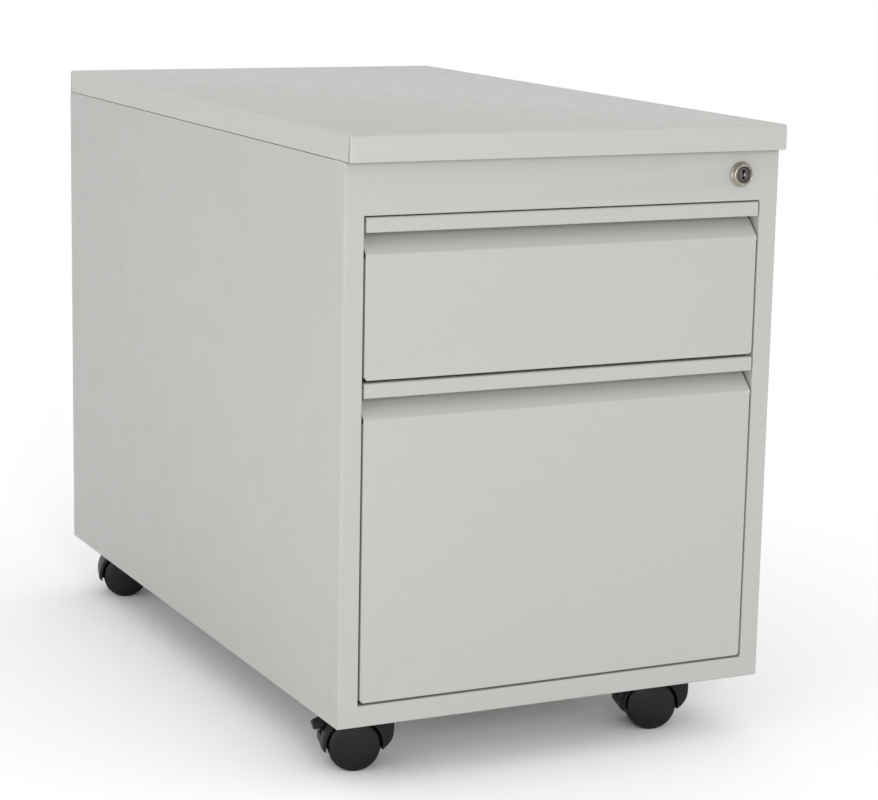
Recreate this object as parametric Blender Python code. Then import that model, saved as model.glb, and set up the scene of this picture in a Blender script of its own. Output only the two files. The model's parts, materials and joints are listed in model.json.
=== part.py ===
"""Two-drawer mobile filing cabinet: sheet-steel body, laminate top, lock and four castors.

Axes: +X right, +Y to the back, +Z up, metres. The floor is z = 0 and the front faces -Y.
Every separate piece is one object. Moving pieces hang from an empty on their joint axis.
"""

import math

import bmesh
import bpy
from mathutils import Vector

# Overall size
BODY_WIDTH = 0.430
BODY_DEPTH = 0.740
BODY_HEIGHT = 0.496
FLOOR_GAP = 0.057
TOP_OVERHANG = 0.012
TOP_THICKNESS = 0.023
BAND_THICKNESS = 0.003

# Sheet metal and clearances
GAP = 0.0003
SHEET = 0.001
FRONT_SHEET = 0.0012
BEND_INSIDE = 0.0005
BEND_SEGMENTS = 3
JAMB_WIDTH = 0.0188
FRAME_RETURN = 0.018
FRAME_TAIL = 0.0098
CORNER_RETURN = 0.004
FASCIA_HEIGHT = 0.046
BOTTOM_RAIL_HEIGHT = 0.0195
TOP_RETURN = 0.024
BAND_EDGE = 0.0024
REAR_RAIL_DEPTH = 0.034
REAR_RAIL_DROP = 0.020
MERGE_DISTANCE = 0.000001
BACKWARD = (0.0, 1.0, 0.0)
UPWARD = (0.0, 0.0, 1.0)

# Derived planes of the body
HALF_WIDTH = BODY_WIDTH / 2
BACK = (BODY_DEPTH + TOP_OVERHANG) / 2
FRONT = BACK - BODY_DEPTH
BODY_BOTTOM = FLOOR_GAP
BODY_TOP = FLOOR_GAP + BODY_HEIGHT
JAMB_INNER = HALF_WIDTH - JAMB_WIDTH
INSIDE_X = HALF_WIDTH - SHEET - GAP
FRAME_BACK = FRONT + FRAME_RETURN

# Drawer fronts
DRAWER_HALF_WIDTH = 0.1944
UPPER_FRONT_BOTTOM = BODY_BOTTOM + 0.3086
UPPER_FRONT_TOP = BODY_BOTTOM + 0.4488
LOWER_FRONT_BOTTOM = BODY_BOTTOM + 0.0215
LOWER_FRONT_TOP = BODY_BOTTOM + 0.3062
STRIP_HEIGHT = 0.0132
PULL_DEPTH = 0.019
PULL_DROP = 0.0186
FRONT_RETURN = 0.014

# Drawer tubs
TUB_HALF_WIDTH = 0.1845
TUB_FRONT = FRONT + 0.0206
TUB_LENGTH = 0.660
UPPER_TUB_LOW = 0.374
UPPER_TUB_HIGH = 0.478
LOWER_TUB_LOW = 0.088
LOWER_TUB_HIGH = 0.338

# Slides: one cabinet, one intermediate and one drawer member a side
SLIDE_FRONT = FRONT + 0.026
SLIDE_LENGTH = 0.650
UPPER_SLIDE_Z = 0.405
LOWER_SLIDE_Z = 0.125
SLIDE_SHEET = 0.0012
CABINET_WEB_X = 0.1961
CABINET_LIP_X = 0.1866
CABINET_HALF_HEIGHT = 0.0225
BRACKET_HALF_HEIGHT = 0.012
BRACKET_FOOT = 0.008
MIDDLE_WEB_X = 0.1938
MIDDLE_LIP_X = 0.1870
MIDDLE_HALF_HEIGHT = 0.0185
DRAWER_WEB_X = TUB_HALF_WIDTH + GAP
DRAWER_LIP_X = 0.1905
DRAWER_HALF_HEIGHT = 0.0140

# Hanging-file rails of the lower drawer
RAIL_X = 0.165
RAIL_THICKNESS = 0.002
RAIL_HEIGHT = 0.014
RAIL_DROP = 0.0025
RAIL_HOOK = 0.0018
RAIL_HOOK_LEG = 0.005

# Lock, with distances measured back from the front plane
LOCK_X = 0.1746
LOCK_Z = BODY_BOTTOM + 0.4742
LOCK_PROUD = 0.0056
LOCK_HOLE_REACH = 0.010
BEZEL_BASE_RADIUS = 0.0117
BEZEL_SHOULDER_RADIUS = 0.0112
BEZEL_FACE_RADIUS = 0.0095
BEZEL_FOOT = 0.0018
BEZEL_EDGE = 0.0005
BARREL_RADIUS = 0.0092
BARREL_HOLE_RADIUS = 0.0095
BARREL_LENGTH = 0.016
CYLINDER_RADIUS = 0.0070
CYLINDER_BORE_RADIUS = 0.0073
CYLINDER_FACE = -0.0049
CYLINDER_SHOULDER = 0.0165
TAIL_RADIUS = 0.0033
TAIL_END = 0.0265
KEYWAY_WIDTH = 0.0017
KEYWAY_HEIGHT = 0.0080
KEYWAY_DEPTH = 0.008
CAM_REST = math.radians(-45)
CAM_HOLE_RADIUS = 0.0036
CAM_HUB_RADIUS = 0.0068
CAM_ARM = 0.012
CAM_TIP_RADIUS = 0.0040
CAM_FRONT = 0.0231
CAM_THICKNESS = 0.002
CAM_PIN_RADIUS = 0.0019
CAM_PIN_LENGTH = 0.0032
CAM_HUB_STEPS = 16
CAM_TIP_STEPS = 8

# Lock bar and the catches it holds
BAR_FRONT = 0.0205
BAR_THICKNESS = 0.002
BAR_INNER_X = 0.1985
BAR_OUTER_X = 0.2115
BAR_LOW = 0.214
BAR_ARM_X = 0.1783
BAR_ARM_LOW = 0.5145
BAR_ARM_HIGH = 0.531
SLOT_END_CLEARANCE = 0.0025
SLOT_SIDE_CLEARANCE = 0.0030
TAB_X = 0.1885
TAB_HEIGHT = 0.014
TAB_BELOW_CATCH = 0.016
CATCH_HEIGHT = 0.012
UPPER_CATCH_Z = 0.448
LOWER_CATCH_Z = 0.240
CATCH_FIN_X = 0.1953
CATCH_FRONT = FRONT + 0.0238
CATCH_LENGTH = 0.018

# Base channels that carry the castors
CHANNEL_DEPTH = 0.050
CHANNEL_HEIGHT = 0.014
BASE_SHEET = 0.0012

# Castors
SWIVEL_X = 0.1536
FRONT_SWIVEL_Y = FRONT + 0.060
REAR_SWIVEL_Y = FRONT + 0.6845
CASTOR_PLACES = {
    "front_left": (-SWIVEL_X, FRONT_SWIVEL_Y),
    "front_right": (SWIVEL_X, FRONT_SWIVEL_Y),
    "rear_left": (-SWIVEL_X, REAR_SWIVEL_Y),
    "rear_right": (SWIVEL_X, REAR_SWIVEL_Y),
}
CASTOR_TURN = math.radians(-16)
TRAIL = 0.020
WHEEL_RADIUS = 0.0238
WHEEL_INNER = 0.005
WHEEL_TREAD_END = 0.0215
WHEEL_EDGE = 0.001
WHEEL_FACE = 0.0250
WHEEL_DOME = ((0.88, 0.0017), (0.66, 0.0008), (0.36, 0.0002), (0.0, 0.0))
WHEEL_BORE_RADIUS = 0.0033
WHEEL_BORE_END = 0.0185
AXLE_RADIUS = 0.003
AXLE_HALF_LENGTH = 0.018
ROUND_STEPS = 32
SMALL_ROUND_STEPS = 20

# Castor hoods, as X and Z from the swivel axis
HOOD_WEB = 0.0044
HOOD_RADIUS = 0.0303
HOOD_INNER_RADIUS = 0.0258
HOOD_ARC_START = 98.0
HOOD_ARC_END = 190.0
HOOD_ARC_STEPS = 7
HOOD_BOSS_SIDE = (
    (0.0020, 0.0195),
    (0.0052, 0.0234),
    (0.0090, 0.0286),
    (0.0138, 0.0347),
    (0.0161, 0.0380),
    (0.0165, 0.0412),
    (0.0165, 0.0500),
    (0.0157, 0.0536),
    (0.0130, 0.0546),
)
HOOD_WEB_FOOT = (
    (-0.0455, 0.0163),
    (-0.0370, 0.0145),
    (-0.0200, 0.0130),
    (-0.0050, 0.0155),
)
HOOD_MIDDLE = (-0.020, 0.025)
HOOD_SECTIONS = ((0.0223, 0.925), (0.0200, 0.975), (0.0160, 1.0))

# Castor stems
STEM_RADIUS = 0.0038
STEM_BORE_RADIUS = 0.0041
STEM_LOW = 0.0395
STEM_FLANGE_RADIUS = 0.0105
STEM_FLANGE_LOW = 0.0549
STUD_RADIUS = 0.004
STUD_HOLE_RADIUS = 0.0045
STUD_HIGH = 0.0700

# Brake pedals of the front castors, as X and Z from the swivel axis
PEDAL_HINGE = (-0.0350, 0.0480)
PEDAL_TIP = (-0.0552, 0.0380)
PEDAL_HALF_WIDTH = 0.0110
PEDAL_THICKNESS = 0.0032
PEDAL_HINGE_RADIUS = 0.0020
PEDAL_NECK_HALF_WIDTH = 0.0045
PEDAL_NECK_OVERLAP = 0.0010
PEDAL_PAD_START = 0.0115
PEDAL_RIB_START = 0.0130
PEDAL_RIBS = 4
PEDAL_RIB = 0.0006
PEDAL_NOSE = 0.0010
NECK_SLOT_LOW = Vector((-0.0700, -0.0050, 0.0290))
NECK_SLOT_HIGH = Vector((-0.0310, 0.0050, 0.0600))
PAD_NOTCH_LOW = Vector((-0.0700, -0.0115, 0.0350))
PAD_NOTCH_HIGH = Vector((-0.0420, 0.0115, 0.0600))


def clear_scene():
    for obj in list(bpy.data.objects):
        bpy.data.objects.remove(obj, do_unlink=True)
    for mesh in list(bpy.data.meshes):
        bpy.data.meshes.remove(mesh)


def make_material(name, colour, roughness, metallic):
    material = bpy.data.materials.new(name)
    material.use_nodes = True
    shader = material.node_tree.nodes["Principled BSDF"]
    shader.inputs["Base Color"].default_value = (*colour, 1.0)
    shader.inputs["Roughness"].default_value = roughness
    shader.inputs["Metallic"].default_value = metallic
    return material


clear_scene()
POWDER_COAT = make_material("powder_coat", (0.56, 0.57, 0.54), 0.45, 0.0)
LAMINATE = make_material("laminate", (0.57, 0.58, 0.55), 0.38, 0.0)
EDGE_BAND = make_material("edge_band", (0.60, 0.60, 0.56), 0.40, 0.0)
BLACK_PLASTIC = make_material("black_plastic", (0.025, 0.025, 0.026), 0.42, 0.0)
ZINC_STEEL = make_material("zinc_steel", (0.55, 0.56, 0.57), 0.35, 1.0)
NICKEL = make_material("nickel", (0.62, 0.58, 0.53), 0.25, 1.0)


def empty_at(name, location, parent=None):
    """An axis marker. It holds no shape and doesn't become a node."""
    marker = bpy.data.objects.new(name, None)
    bpy.context.scene.collection.objects.link(marker)
    marker.parent = parent
    marker.location = location
    return marker


def world_of(parent):
    bpy.context.view_layer.update()
    return parent.matrix_world.translation.copy()


def add_object(name, bm, material, parent=None):
    """Turns a bmesh drawn in world coordinates into an object that keeps its place under its parent."""
    bmesh.ops.recalc_face_normals(bm, faces=bm.faces)
    origin = world_of(parent) if parent else Vector((0.0, 0.0, 0.0))
    bmesh.ops.translate(bm, verts=bm.verts, vec=-origin)
    mesh = bpy.data.meshes.new(name)
    bm.to_mesh(mesh)
    bm.free()
    if material:
        mesh.materials.append(material)
    obj = bpy.data.objects.new(name, mesh)
    bpy.context.scene.collection.objects.link(obj)
    obj.parent = parent
    return obj


def smooth(obj, degrees=35):
    obj.data.shade_smooth()
    obj.data.set_sharp_from_angle(angle=math.radians(degrees))


def bake_modifiers(obj):
    """Replaces the mesh by what its modifiers make of it."""
    bpy.context.view_layer.update()
    graph = bpy.context.evaluated_depsgraph_get()
    baked = bpy.data.meshes.new_from_object(obj.evaluated_get(graph))
    baked.name = obj.name
    obj.modifiers.clear()
    obj.data = baked


def combine(obj, tools, operation):
    """Cuts the tools from the object, or joins them to it, and removes them."""
    for tool in tools:
        tool.hide_render = True
        tool.display_type = "WIRE"
        modifier = obj.modifiers.new("combine", "BOOLEAN")
        modifier.operation = operation
        modifier.solver = "EXACT"
        modifier.object = tool
    bake_modifiers(obj)
    for tool in tools:
        bpy.data.objects.remove(tool, do_unlink=True)


def box_mesh(low, high):
    bm = bmesh.new()
    bmesh.ops.create_cube(bm, size=1.0)
    size = Vector(high) - Vector(low)
    middle = (Vector(high) + Vector(low)) / 2
    bmesh.ops.scale(bm, verts=bm.verts, vec=size)
    bmesh.ops.translate(bm, verts=bm.verts, vec=middle)
    return bm


def add_box(name, low, high, material, parent=None, bevel=0.0):
    bm = box_mesh(low, high)
    if bevel:
        bmesh.ops.bevel(bm, geom=bm.edges[:], offset=bevel, segments=3, profile=0.5, affect="EDGES")
    return add_object(name, bm, material, parent)


def rounded_line(points, radii):
    """The open line through the points with each inner corner drawn as an arc."""
    line = [Vector(points[0])]
    for index in range(1, len(points) - 1):
        corner = Vector(points[index])
        before = (Vector(points[index - 1]) - corner).normalized()
        after = (Vector(points[index + 1]) - corner).normalized()
        half = before.angle(after) / 2
        radius = radii[index - 1]
        reach = radius / math.tan(half)
        centre = corner + (before + after).normalized() * radius / math.sin(half)
        start = corner + before * reach - centre
        end = corner + after * reach - centre
        for step in range(BEND_SEGMENTS + 1):
            share = step / BEND_SEGMENTS
            spoke = start.lerp(end, share).normalized() * radius
            line.append(centre + spoke)
    line.append(Vector(points[-1]))
    return line


def sheet_outline(points, thickness=SHEET):
    """Outline of a folded sheet whose metal lies to the right of the line through the points."""
    radii = []
    for index in range(1, len(points) - 1):
        first = Vector(points[index]) - Vector(points[index - 1])
        second = Vector(points[index + 1]) - Vector(points[index])
        turns_right = first.x * second.y - first.y * second.x < 0
        radii.append(BEND_INSIDE + thickness if turns_right else BEND_INSIDE)
    line = rounded_line(points, radii)
    directions = [(b - a).normalized() for a, b in zip(line, line[1:])]
    other = []
    for index, point in enumerate(line):
        first = directions[max(index - 1, 0)]
        second = directions[min(index, len(directions) - 1)]
        first_normal = Vector((first.y, -first.x))
        normal = (first_normal + Vector((second.y, -second.x))).normalized()
        other.append(point + normal * thickness / normal.dot(first_normal))
    return line + other[::-1]


def mirrored(outline):
    return [(-u, v) for u, v in outline]


def along_x(u, v, w):
    """Places an outline drawn in Y and Z."""
    return (w, u, v)


def along_y(u, v, w):
    """Places an outline drawn in X and Z."""
    return (u, w, v)


def along_z(u, v, w):
    """Places an outline drawn in X and Y."""
    return (u, v, w)


def prism(outline, place, span):
    """A solid that carries the outline from span[0] to span[1] along its own axis."""
    bm = bmesh.new()
    face = bm.faces.new([bm.verts.new(place(u, v, span[0])) for u, v in outline])
    grown = bmesh.ops.extrude_face_region(bm, geom=[face], use_keep_orig=True)
    moved = [item for item in grown["geom"] if isinstance(item, bmesh.types.BMVert)]
    shift = Vector(place(0.0, 0.0, span[1] - span[0]))
    bmesh.ops.translate(bm, verts=moved, vec=shift)
    return bm


def add_prism(name, outline, place, span, material, parent=None):
    obj = add_object(name, prism(outline, place, span), material, parent)
    smooth(obj)
    return obj


def lathe(profile, centre, axis, steps):
    """A closed solid of revolution. The profile holds (radius, distance along the axis) pairs."""
    bm = bmesh.new()
    along = Vector(axis)
    across = Vector((1.0, 0.0, 0.0))
    points = [bm.verts.new(Vector(centre) + along * far + across * radius) for radius, far in profile]
    edges = [bm.edges.new(pair) for pair in zip(points, points[1:])]
    if profile[0][0] > 0.0:
        edges.append(bm.edges.new((points[-1], points[0])))
    bmesh.ops.spin(
        bm,
        geom=points + edges,
        cent=centre,
        axis=axis,
        angle=2 * math.pi,
        steps=steps,
        use_merge=True,
    )
    bmesh.ops.remove_doubles(bm, verts=bm.verts, dist=MERGE_DISTANCE)
    return bm


def add_lathe(name, profile, centre, axis, steps, material, parent=None):
    obj = add_object(name, lathe(profile, centre, axis, steps), material, parent)
    smooth(obj)
    return obj


def cylinder_tool(centre, axis, radius, low, high, steps=SMALL_ROUND_STEPS):
    """A plain cylinder that cuts or joins."""
    profile = ((0.0, low), (radius, low), (radius, high), (0.0, high))
    return add_object("tool", lathe(profile, centre, axis, steps), None)


def box_tool(low, high):
    return add_object("tool", box_mesh(low, high), None)


def arc(centre, radius, start, end, steps):
    """Points of an arc, with its angles in degrees."""
    points = []
    for step in range(steps + 1):
        angle = math.radians(start + (end - start) * step / steps)
        spoke = (radius * math.cos(angle), radius * math.sin(angle))
        points.append((centre[0] + spoke[0], centre[1] + spoke[1]))
    return points


# Body


def build_top():
    low_z = BODY_TOP + GAP
    high_z = low_z + TOP_THICKNESS
    inner_x = HALF_WIDTH - BAND_THICKNESS
    inner_y = BACK - BAND_THICKNESS
    core_low = (-inner_x + GAP, -inner_y + GAP, low_z)
    core_high = (inner_x - GAP, inner_y - GAP, high_z)
    add_box("top_panel", core_low, core_high, LAMINATE)
    band_low = (-HALF_WIDTH, -BACK, low_z)
    band_high = (HALF_WIDTH, BACK, high_z)
    band = add_box("top_edge_band", band_low, band_high, EDGE_BAND, bevel=BAND_EDGE)
    hole = box_tool((-inner_x, -inner_y, 0.0), (inner_x, inner_y, 1.0))
    combine(band, [hole], "DIFFERENCE")


def build_front_frame():
    jamb = sheet_outline(
        (
            (HALF_WIDTH, FRONT + CORNER_RETURN),
            (HALF_WIDTH, FRONT),
            (JAMB_INNER, FRONT),
            (JAMB_INNER, FRAME_BACK),
            (JAMB_INNER + FRAME_TAIL, FRAME_BACK),
        )
    )
    height = (BODY_BOTTOM, BODY_TOP)
    add_prism("front_jamb_right", jamb, along_z, height, POWDER_COAT)
    add_prism("front_jamb_left", mirrored(jamb), along_z, height, POWDER_COAT)
    between = (-JAMB_INNER + GAP, JAMB_INNER - GAP)
    fascia_low = BODY_TOP - FASCIA_HEIGHT
    fascia = sheet_outline(
        (
            (FRAME_BACK, fascia_low),
            (FRONT, fascia_low),
            (FRONT, BODY_TOP),
            (FRONT + TOP_RETURN, BODY_TOP),
        )
    )
    obj = add_prism("front_fascia", fascia, along_x, between, POWDER_COAT)
    combine(obj, [lock_hole()], "DIFFERENCE")
    rail_top = BODY_BOTTOM + BOTTOM_RAIL_HEIGHT
    rail = sheet_outline(
        (
            (FRAME_BACK, BODY_BOTTOM),
            (FRONT, BODY_BOTTOM),
            (FRONT, rail_top),
            (FRAME_BACK, rail_top),
        )
    )
    add_prism("front_bottom_rail", rail, along_x, between, POWDER_COAT)


def lock_hole():
    centre = (LOCK_X, FRONT, LOCK_Z)
    return cylinder_tool(centre, BACKWARD, BARREL_HOLE_RADIUS, -LOCK_HOLE_REACH, LOCK_HOLE_REACH)


def build_shell():
    side_front = FRONT + CORNER_RETURN + GAP
    for name, inner, outer in (
        ("side_panel_left", -HALF_WIDTH, -HALF_WIDTH + SHEET),
        ("side_panel_right", HALF_WIDTH - SHEET, HALF_WIDTH),
    ):
        add_box(name, (inner, side_front, BODY_BOTTOM), (outer, BACK, BODY_TOP), POWDER_COAT)
    back_low = (-INSIDE_X, BACK - SHEET, BODY_BOTTOM)
    add_box("back_panel", back_low, (INSIDE_X, BACK, BODY_TOP), POWDER_COAT)
    pan_low = (-INSIDE_X, FRAME_BACK + GAP, BODY_BOTTOM)
    pan_high = (INSIDE_X, BACK - SHEET - GAP, BODY_BOTTOM + BASE_SHEET)
    pan = add_box("base_pan", pan_low, pan_high, POWDER_COAT)
    holes = []
    for x, y in CASTOR_PLACES.values():
        holes.append(cylinder_tool((x, y, 0.0), UPWARD, STUD_HOLE_RADIUS, 0.0, BODY_TOP))
    combine(pan, holes, "DIFFERENCE")
    rear_rail = sheet_outline(
        (
            (BACK - REAR_RAIL_DEPTH, BODY_TOP - REAR_RAIL_DROP),
            (BACK - REAR_RAIL_DEPTH, BODY_TOP),
            (BACK - SHEET - GAP, BODY_TOP),
        )
    )
    add_prism("top_rail_rear", rear_rail, along_x, (-INSIDE_X, INSIDE_X), POWDER_COAT)


def build_base_channels():
    low = BODY_BOTTOM + BASE_SHEET + GAP
    high = low + CHANNEL_HEIGHT
    for name, y in (("base_channel_front", FRONT_SWIVEL_Y), ("base_channel_rear", REAR_SWIVEL_Y)):
        front = y - CHANNEL_DEPTH / 2
        back = y + CHANNEL_DEPTH / 2
        outline = sheet_outline(((front, low), (front, high), (back, high), (back, low)), BASE_SHEET)
        add_prism(name, outline, along_x, (-INSIDE_X, INSIDE_X), ZINC_STEEL)


# Slides


def cabinet_member_outline(middle_z):
    """Right cabinet member: a lipped channel on two legs that stand off the side panel."""
    t = SLIDE_SHEET
    half = CABINET_HALF_HEIGHT
    leg = BRACKET_HALF_HEIGHT
    foot = leg + BRACKET_FOOT
    side = INSIDE_X
    upper = (
        (CABINET_WEB_X, leg - t),
        (side, leg - t),
        (side, foot),
        (side - t, foot),
        (side - t, leg),
        (CABINET_WEB_X, leg),
        (CABINET_WEB_X, half),
        (CABINET_LIP_X, half),
        (CABINET_LIP_X, half - t),
        (CABINET_WEB_X - t, half - t),
    )
    lower = [(x, -z) for x, z in upper[::-1]]
    return [(x, middle_z + z) for x, z in (*upper, *lower)]


def channel_outline(web_x, lip_x, half, middle_z):
    """A lipped channel with its web at web_x and its lips reaching to lip_x."""
    inner = web_x + math.copysign(SLIDE_SHEET, lip_x - web_x)
    upper = ((web_x, half), (lip_x, half), (lip_x, half - SLIDE_SHEET), (inner, half - SLIDE_SHEET))
    lower = [(x, -z) for x, z in upper[::-1]]
    return [(x, middle_z + z) for x, z in (*upper, *lower)]


def build_slides(level, middle_z, slide_marker, drawer_marker):
    span = (SLIDE_FRONT, SLIDE_FRONT + SLIDE_LENGTH)
    cabinet = cabinet_member_outline(middle_z)
    middle = channel_outline(MIDDLE_WEB_X, MIDDLE_LIP_X, MIDDLE_HALF_HEIGHT, middle_z)
    drawer = channel_outline(DRAWER_WEB_X, DRAWER_LIP_X, DRAWER_HALF_HEIGHT, middle_z)
    for side, turn in (("right", list), ("left", mirrored)):
        for role, outline, parent in (
            ("cabinet", cabinet, None),
            ("intermediate", middle, slide_marker),
            ("drawer", drawer, drawer_marker),
        ):
            name = f"{level}_slide_{role}_member_{side}"
            add_prism(name, turn(outline), along_y, span, ZINC_STEEL, parent)


# Drawers


def build_drawer_front(level, low, high, parent):
    """A folded front: flat face, sloping finger pull and the lip strip above it."""
    strip_low = high - STRIP_HEIGHT
    bend = strip_low - PULL_DROP
    t = FRONT_SHEET
    outline = sheet_outline(
        (
            (FRONT + FRONT_RETURN, low),
            (FRONT, low),
            (FRONT, bend),
            (FRONT + PULL_DEPTH, bend + PULL_DEPTH),
            (FRONT + PULL_DEPTH, high - t),
            (FRONT + t, high - t),
            (FRONT + t, strip_low),
        ),
        t,
    )
    half = DRAWER_HALF_WIDTH
    front = add_prism(f"{level}_drawer_front", outline, along_x, (-half, half), POWDER_COAT, parent)
    side_low = low + t / 2
    side_high = bend - t
    side_back = FRONT + FRONT_RETURN
    returns = []
    for inner, outer in ((-half, -half + t), (half - t, half)):
        corner = (inner, FRONT + t / 2, side_low)
        returns.append(box_tool(corner, (outer, side_back, side_high)))
    combine(front, returns, "UNION")
    smooth(front)


def build_tub(level, low, high, parent):
    half = TUB_HALF_WIDTH
    back = TUB_FRONT + TUB_LENGTH
    tub = add_box(
        f"{level}_drawer_tub", (-half, TUB_FRONT, low), (half, back, high), POWDER_COAT, parent
    )
    hollow_low = (-half + SHEET, TUB_FRONT + SHEET, low + SHEET)
    hollow_high = (half - SHEET, back - SHEET, high + SHEET)
    combine(tub, [box_tool(hollow_low, hollow_high)], "DIFFERENCE")


def build_catch(level, low, parent):
    """Angle on the right wall of the tub. The locked bar stands in front of its fin."""
    outline = sheet_outline(
        (
            (CATCH_FIN_X, CATCH_FRONT),
            (DRAWER_WEB_X, CATCH_FRONT),
            (DRAWER_WEB_X, CATCH_FRONT + CATCH_LENGTH),
        )
    )
    span = (low, low + CATCH_HEIGHT)
    add_prism(f"{level}_lock_catch", outline, along_z, span, ZINC_STEEL, parent)


def build_hanging_rails(parent):
    """Two flat bars hooked over the front and back walls of the lower tub."""
    wall_top = LOWER_TUB_HIGH + GAP
    front = TUB_FRONT
    back = TUB_FRONT + TUB_LENGTH
    bar_high = LOWER_TUB_HIGH - RAIL_DROP
    bar_low = bar_high - RAIL_HEIGHT
    inside = SHEET + GAP
    outline = (
        (front + inside, bar_low),
        (back - inside, bar_low),
        (back - inside, wall_top),
        (back + GAP, wall_top),
        (back + GAP, wall_top - RAIL_HOOK_LEG),
        (back + GAP + RAIL_HOOK, wall_top - RAIL_HOOK_LEG),
        (back + GAP + RAIL_HOOK, wall_top + RAIL_HOOK),
        (back - inside - RAIL_HEIGHT, wall_top + RAIL_HOOK),
        (back - inside - RAIL_HEIGHT, bar_high),
        (front + inside + RAIL_HEIGHT, bar_high),
        (front + inside + RAIL_HEIGHT, wall_top + RAIL_HOOK),
        (front - GAP - RAIL_HOOK, wall_top + RAIL_HOOK),
        (front - GAP - RAIL_HOOK, wall_top - RAIL_HOOK_LEG),
        (front - GAP, wall_top - RAIL_HOOK_LEG),
        (front - GAP, wall_top),
        (front + inside, wall_top),
    )
    for side, x in (("left", -RAIL_X), ("right", RAIL_X)):
        span = (x - RAIL_THICKNESS / 2, x + RAIL_THICKNESS / 2)
        add_prism(f"hanging_rail_{side}", outline, along_x, span, ZINC_STEEL, parent)


def build_drawer(level, front_span, tub_span, slide_z, catch_z):
    """Builds one drawer and its slides, and returns the marker that carries the drawer."""
    axis = (0.0, FRONT, slide_z)
    drawer_marker = empty_at(f"{level}_drawer_travel", axis)
    slide_marker = empty_at(f"{level}_intermediate_travel", axis)
    build_drawer_front(level, *front_span, drawer_marker)
    build_tub(level, *tub_span, drawer_marker)
    build_catch(level, catch_z, drawer_marker)
    build_slides(level, slide_z, slide_marker, drawer_marker)
    return drawer_marker


# Lock


def build_lock():
    centre = (LOCK_X, FRONT, LOCK_Z)
    housing = (
        (CYLINDER_BORE_RADIUS, -LOCK_PROUD),
        (BEZEL_FACE_RADIUS - BEZEL_EDGE, -LOCK_PROUD),
        (BEZEL_FACE_RADIUS, -LOCK_PROUD + BEZEL_EDGE),
        (BEZEL_SHOULDER_RADIUS, -BEZEL_FOOT),
        (BEZEL_BASE_RADIUS, -BEZEL_FOOT + BEZEL_EDGE),
        (BEZEL_BASE_RADIUS, -GAP),
        (BARREL_RADIUS, -GAP),
        (BARREL_RADIUS, BARREL_LENGTH),
        (CYLINDER_BORE_RADIUS, BARREL_LENGTH),
    )
    add_lathe("lock_housing", housing, centre, BACKWARD, ROUND_STEPS, NICKEL)
    marker = empty_at("lock_turn", centre)
    cylinder = (
        (0.0, CYLINDER_FACE),
        (CYLINDER_RADIUS - BEZEL_EDGE, CYLINDER_FACE),
        (CYLINDER_RADIUS, CYLINDER_FACE + BEZEL_EDGE),
        (CYLINDER_RADIUS, CYLINDER_SHOULDER),
        (TAIL_RADIUS, CYLINDER_SHOULDER),
        (TAIL_RADIUS, TAIL_END),
        (0.0, TAIL_END),
    )
    core = add_lathe("lock_cylinder", cylinder, centre, BACKWARD, ROUND_STEPS, NICKEL, marker)
    keyway_low = (LOCK_X - KEYWAY_WIDTH / 2, FRONT - KEYWAY_DEPTH, LOCK_Z - KEYWAY_HEIGHT / 2)
    keyway_high = (LOCK_X + KEYWAY_WIDTH / 2, FRONT + KEYWAY_DEPTH, LOCK_Z + KEYWAY_HEIGHT / 2)
    combine(core, [box_tool(keyway_low, keyway_high)], "DIFFERENCE")
    smooth(core)
    build_cam(centre, marker)


def build_cam(centre, marker):
    """Cam plate pressed on the tail of the cylinder, with a pin that lifts the bar."""
    pin = (LOCK_X + CAM_ARM * math.cos(CAM_REST), LOCK_Z + CAM_ARM * math.sin(CAM_REST))
    turn = math.degrees(CAM_REST)
    tangent = math.degrees(math.acos((CAM_HUB_RADIUS - CAM_TIP_RADIUS) / CAM_ARM))
    hub = (LOCK_X, LOCK_Z)
    outline = arc(hub, CAM_HUB_RADIUS, turn + tangent, turn + 360 - tangent, CAM_HUB_STEPS)
    outline += arc(pin, CAM_TIP_RADIUS, turn - tangent, turn + tangent, CAM_TIP_STEPS)
    span = (FRONT + CAM_FRONT, FRONT + CAM_FRONT + CAM_THICKNESS)
    cam = add_prism("lock_cam", outline, along_y, span, ZINC_STEEL, marker)
    hole = cylinder_tool(centre, BACKWARD, CAM_HOLE_RADIUS, 0.0, 2 * TAIL_END)
    combine(cam, [hole], "DIFFERENCE")
    pin_centre = (pin[0], FRONT, pin[1])
    pin_low = CAM_FRONT - CAM_PIN_LENGTH
    pin_high = CAM_FRONT + CAM_THICKNESS / 2
    tool = cylinder_tool(pin_centre, BACKWARD, CAM_PIN_RADIUS, pin_low, pin_high, CAM_TIP_STEPS * 2)
    combine(cam, [tool], "UNION")
    smooth(cam)


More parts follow.
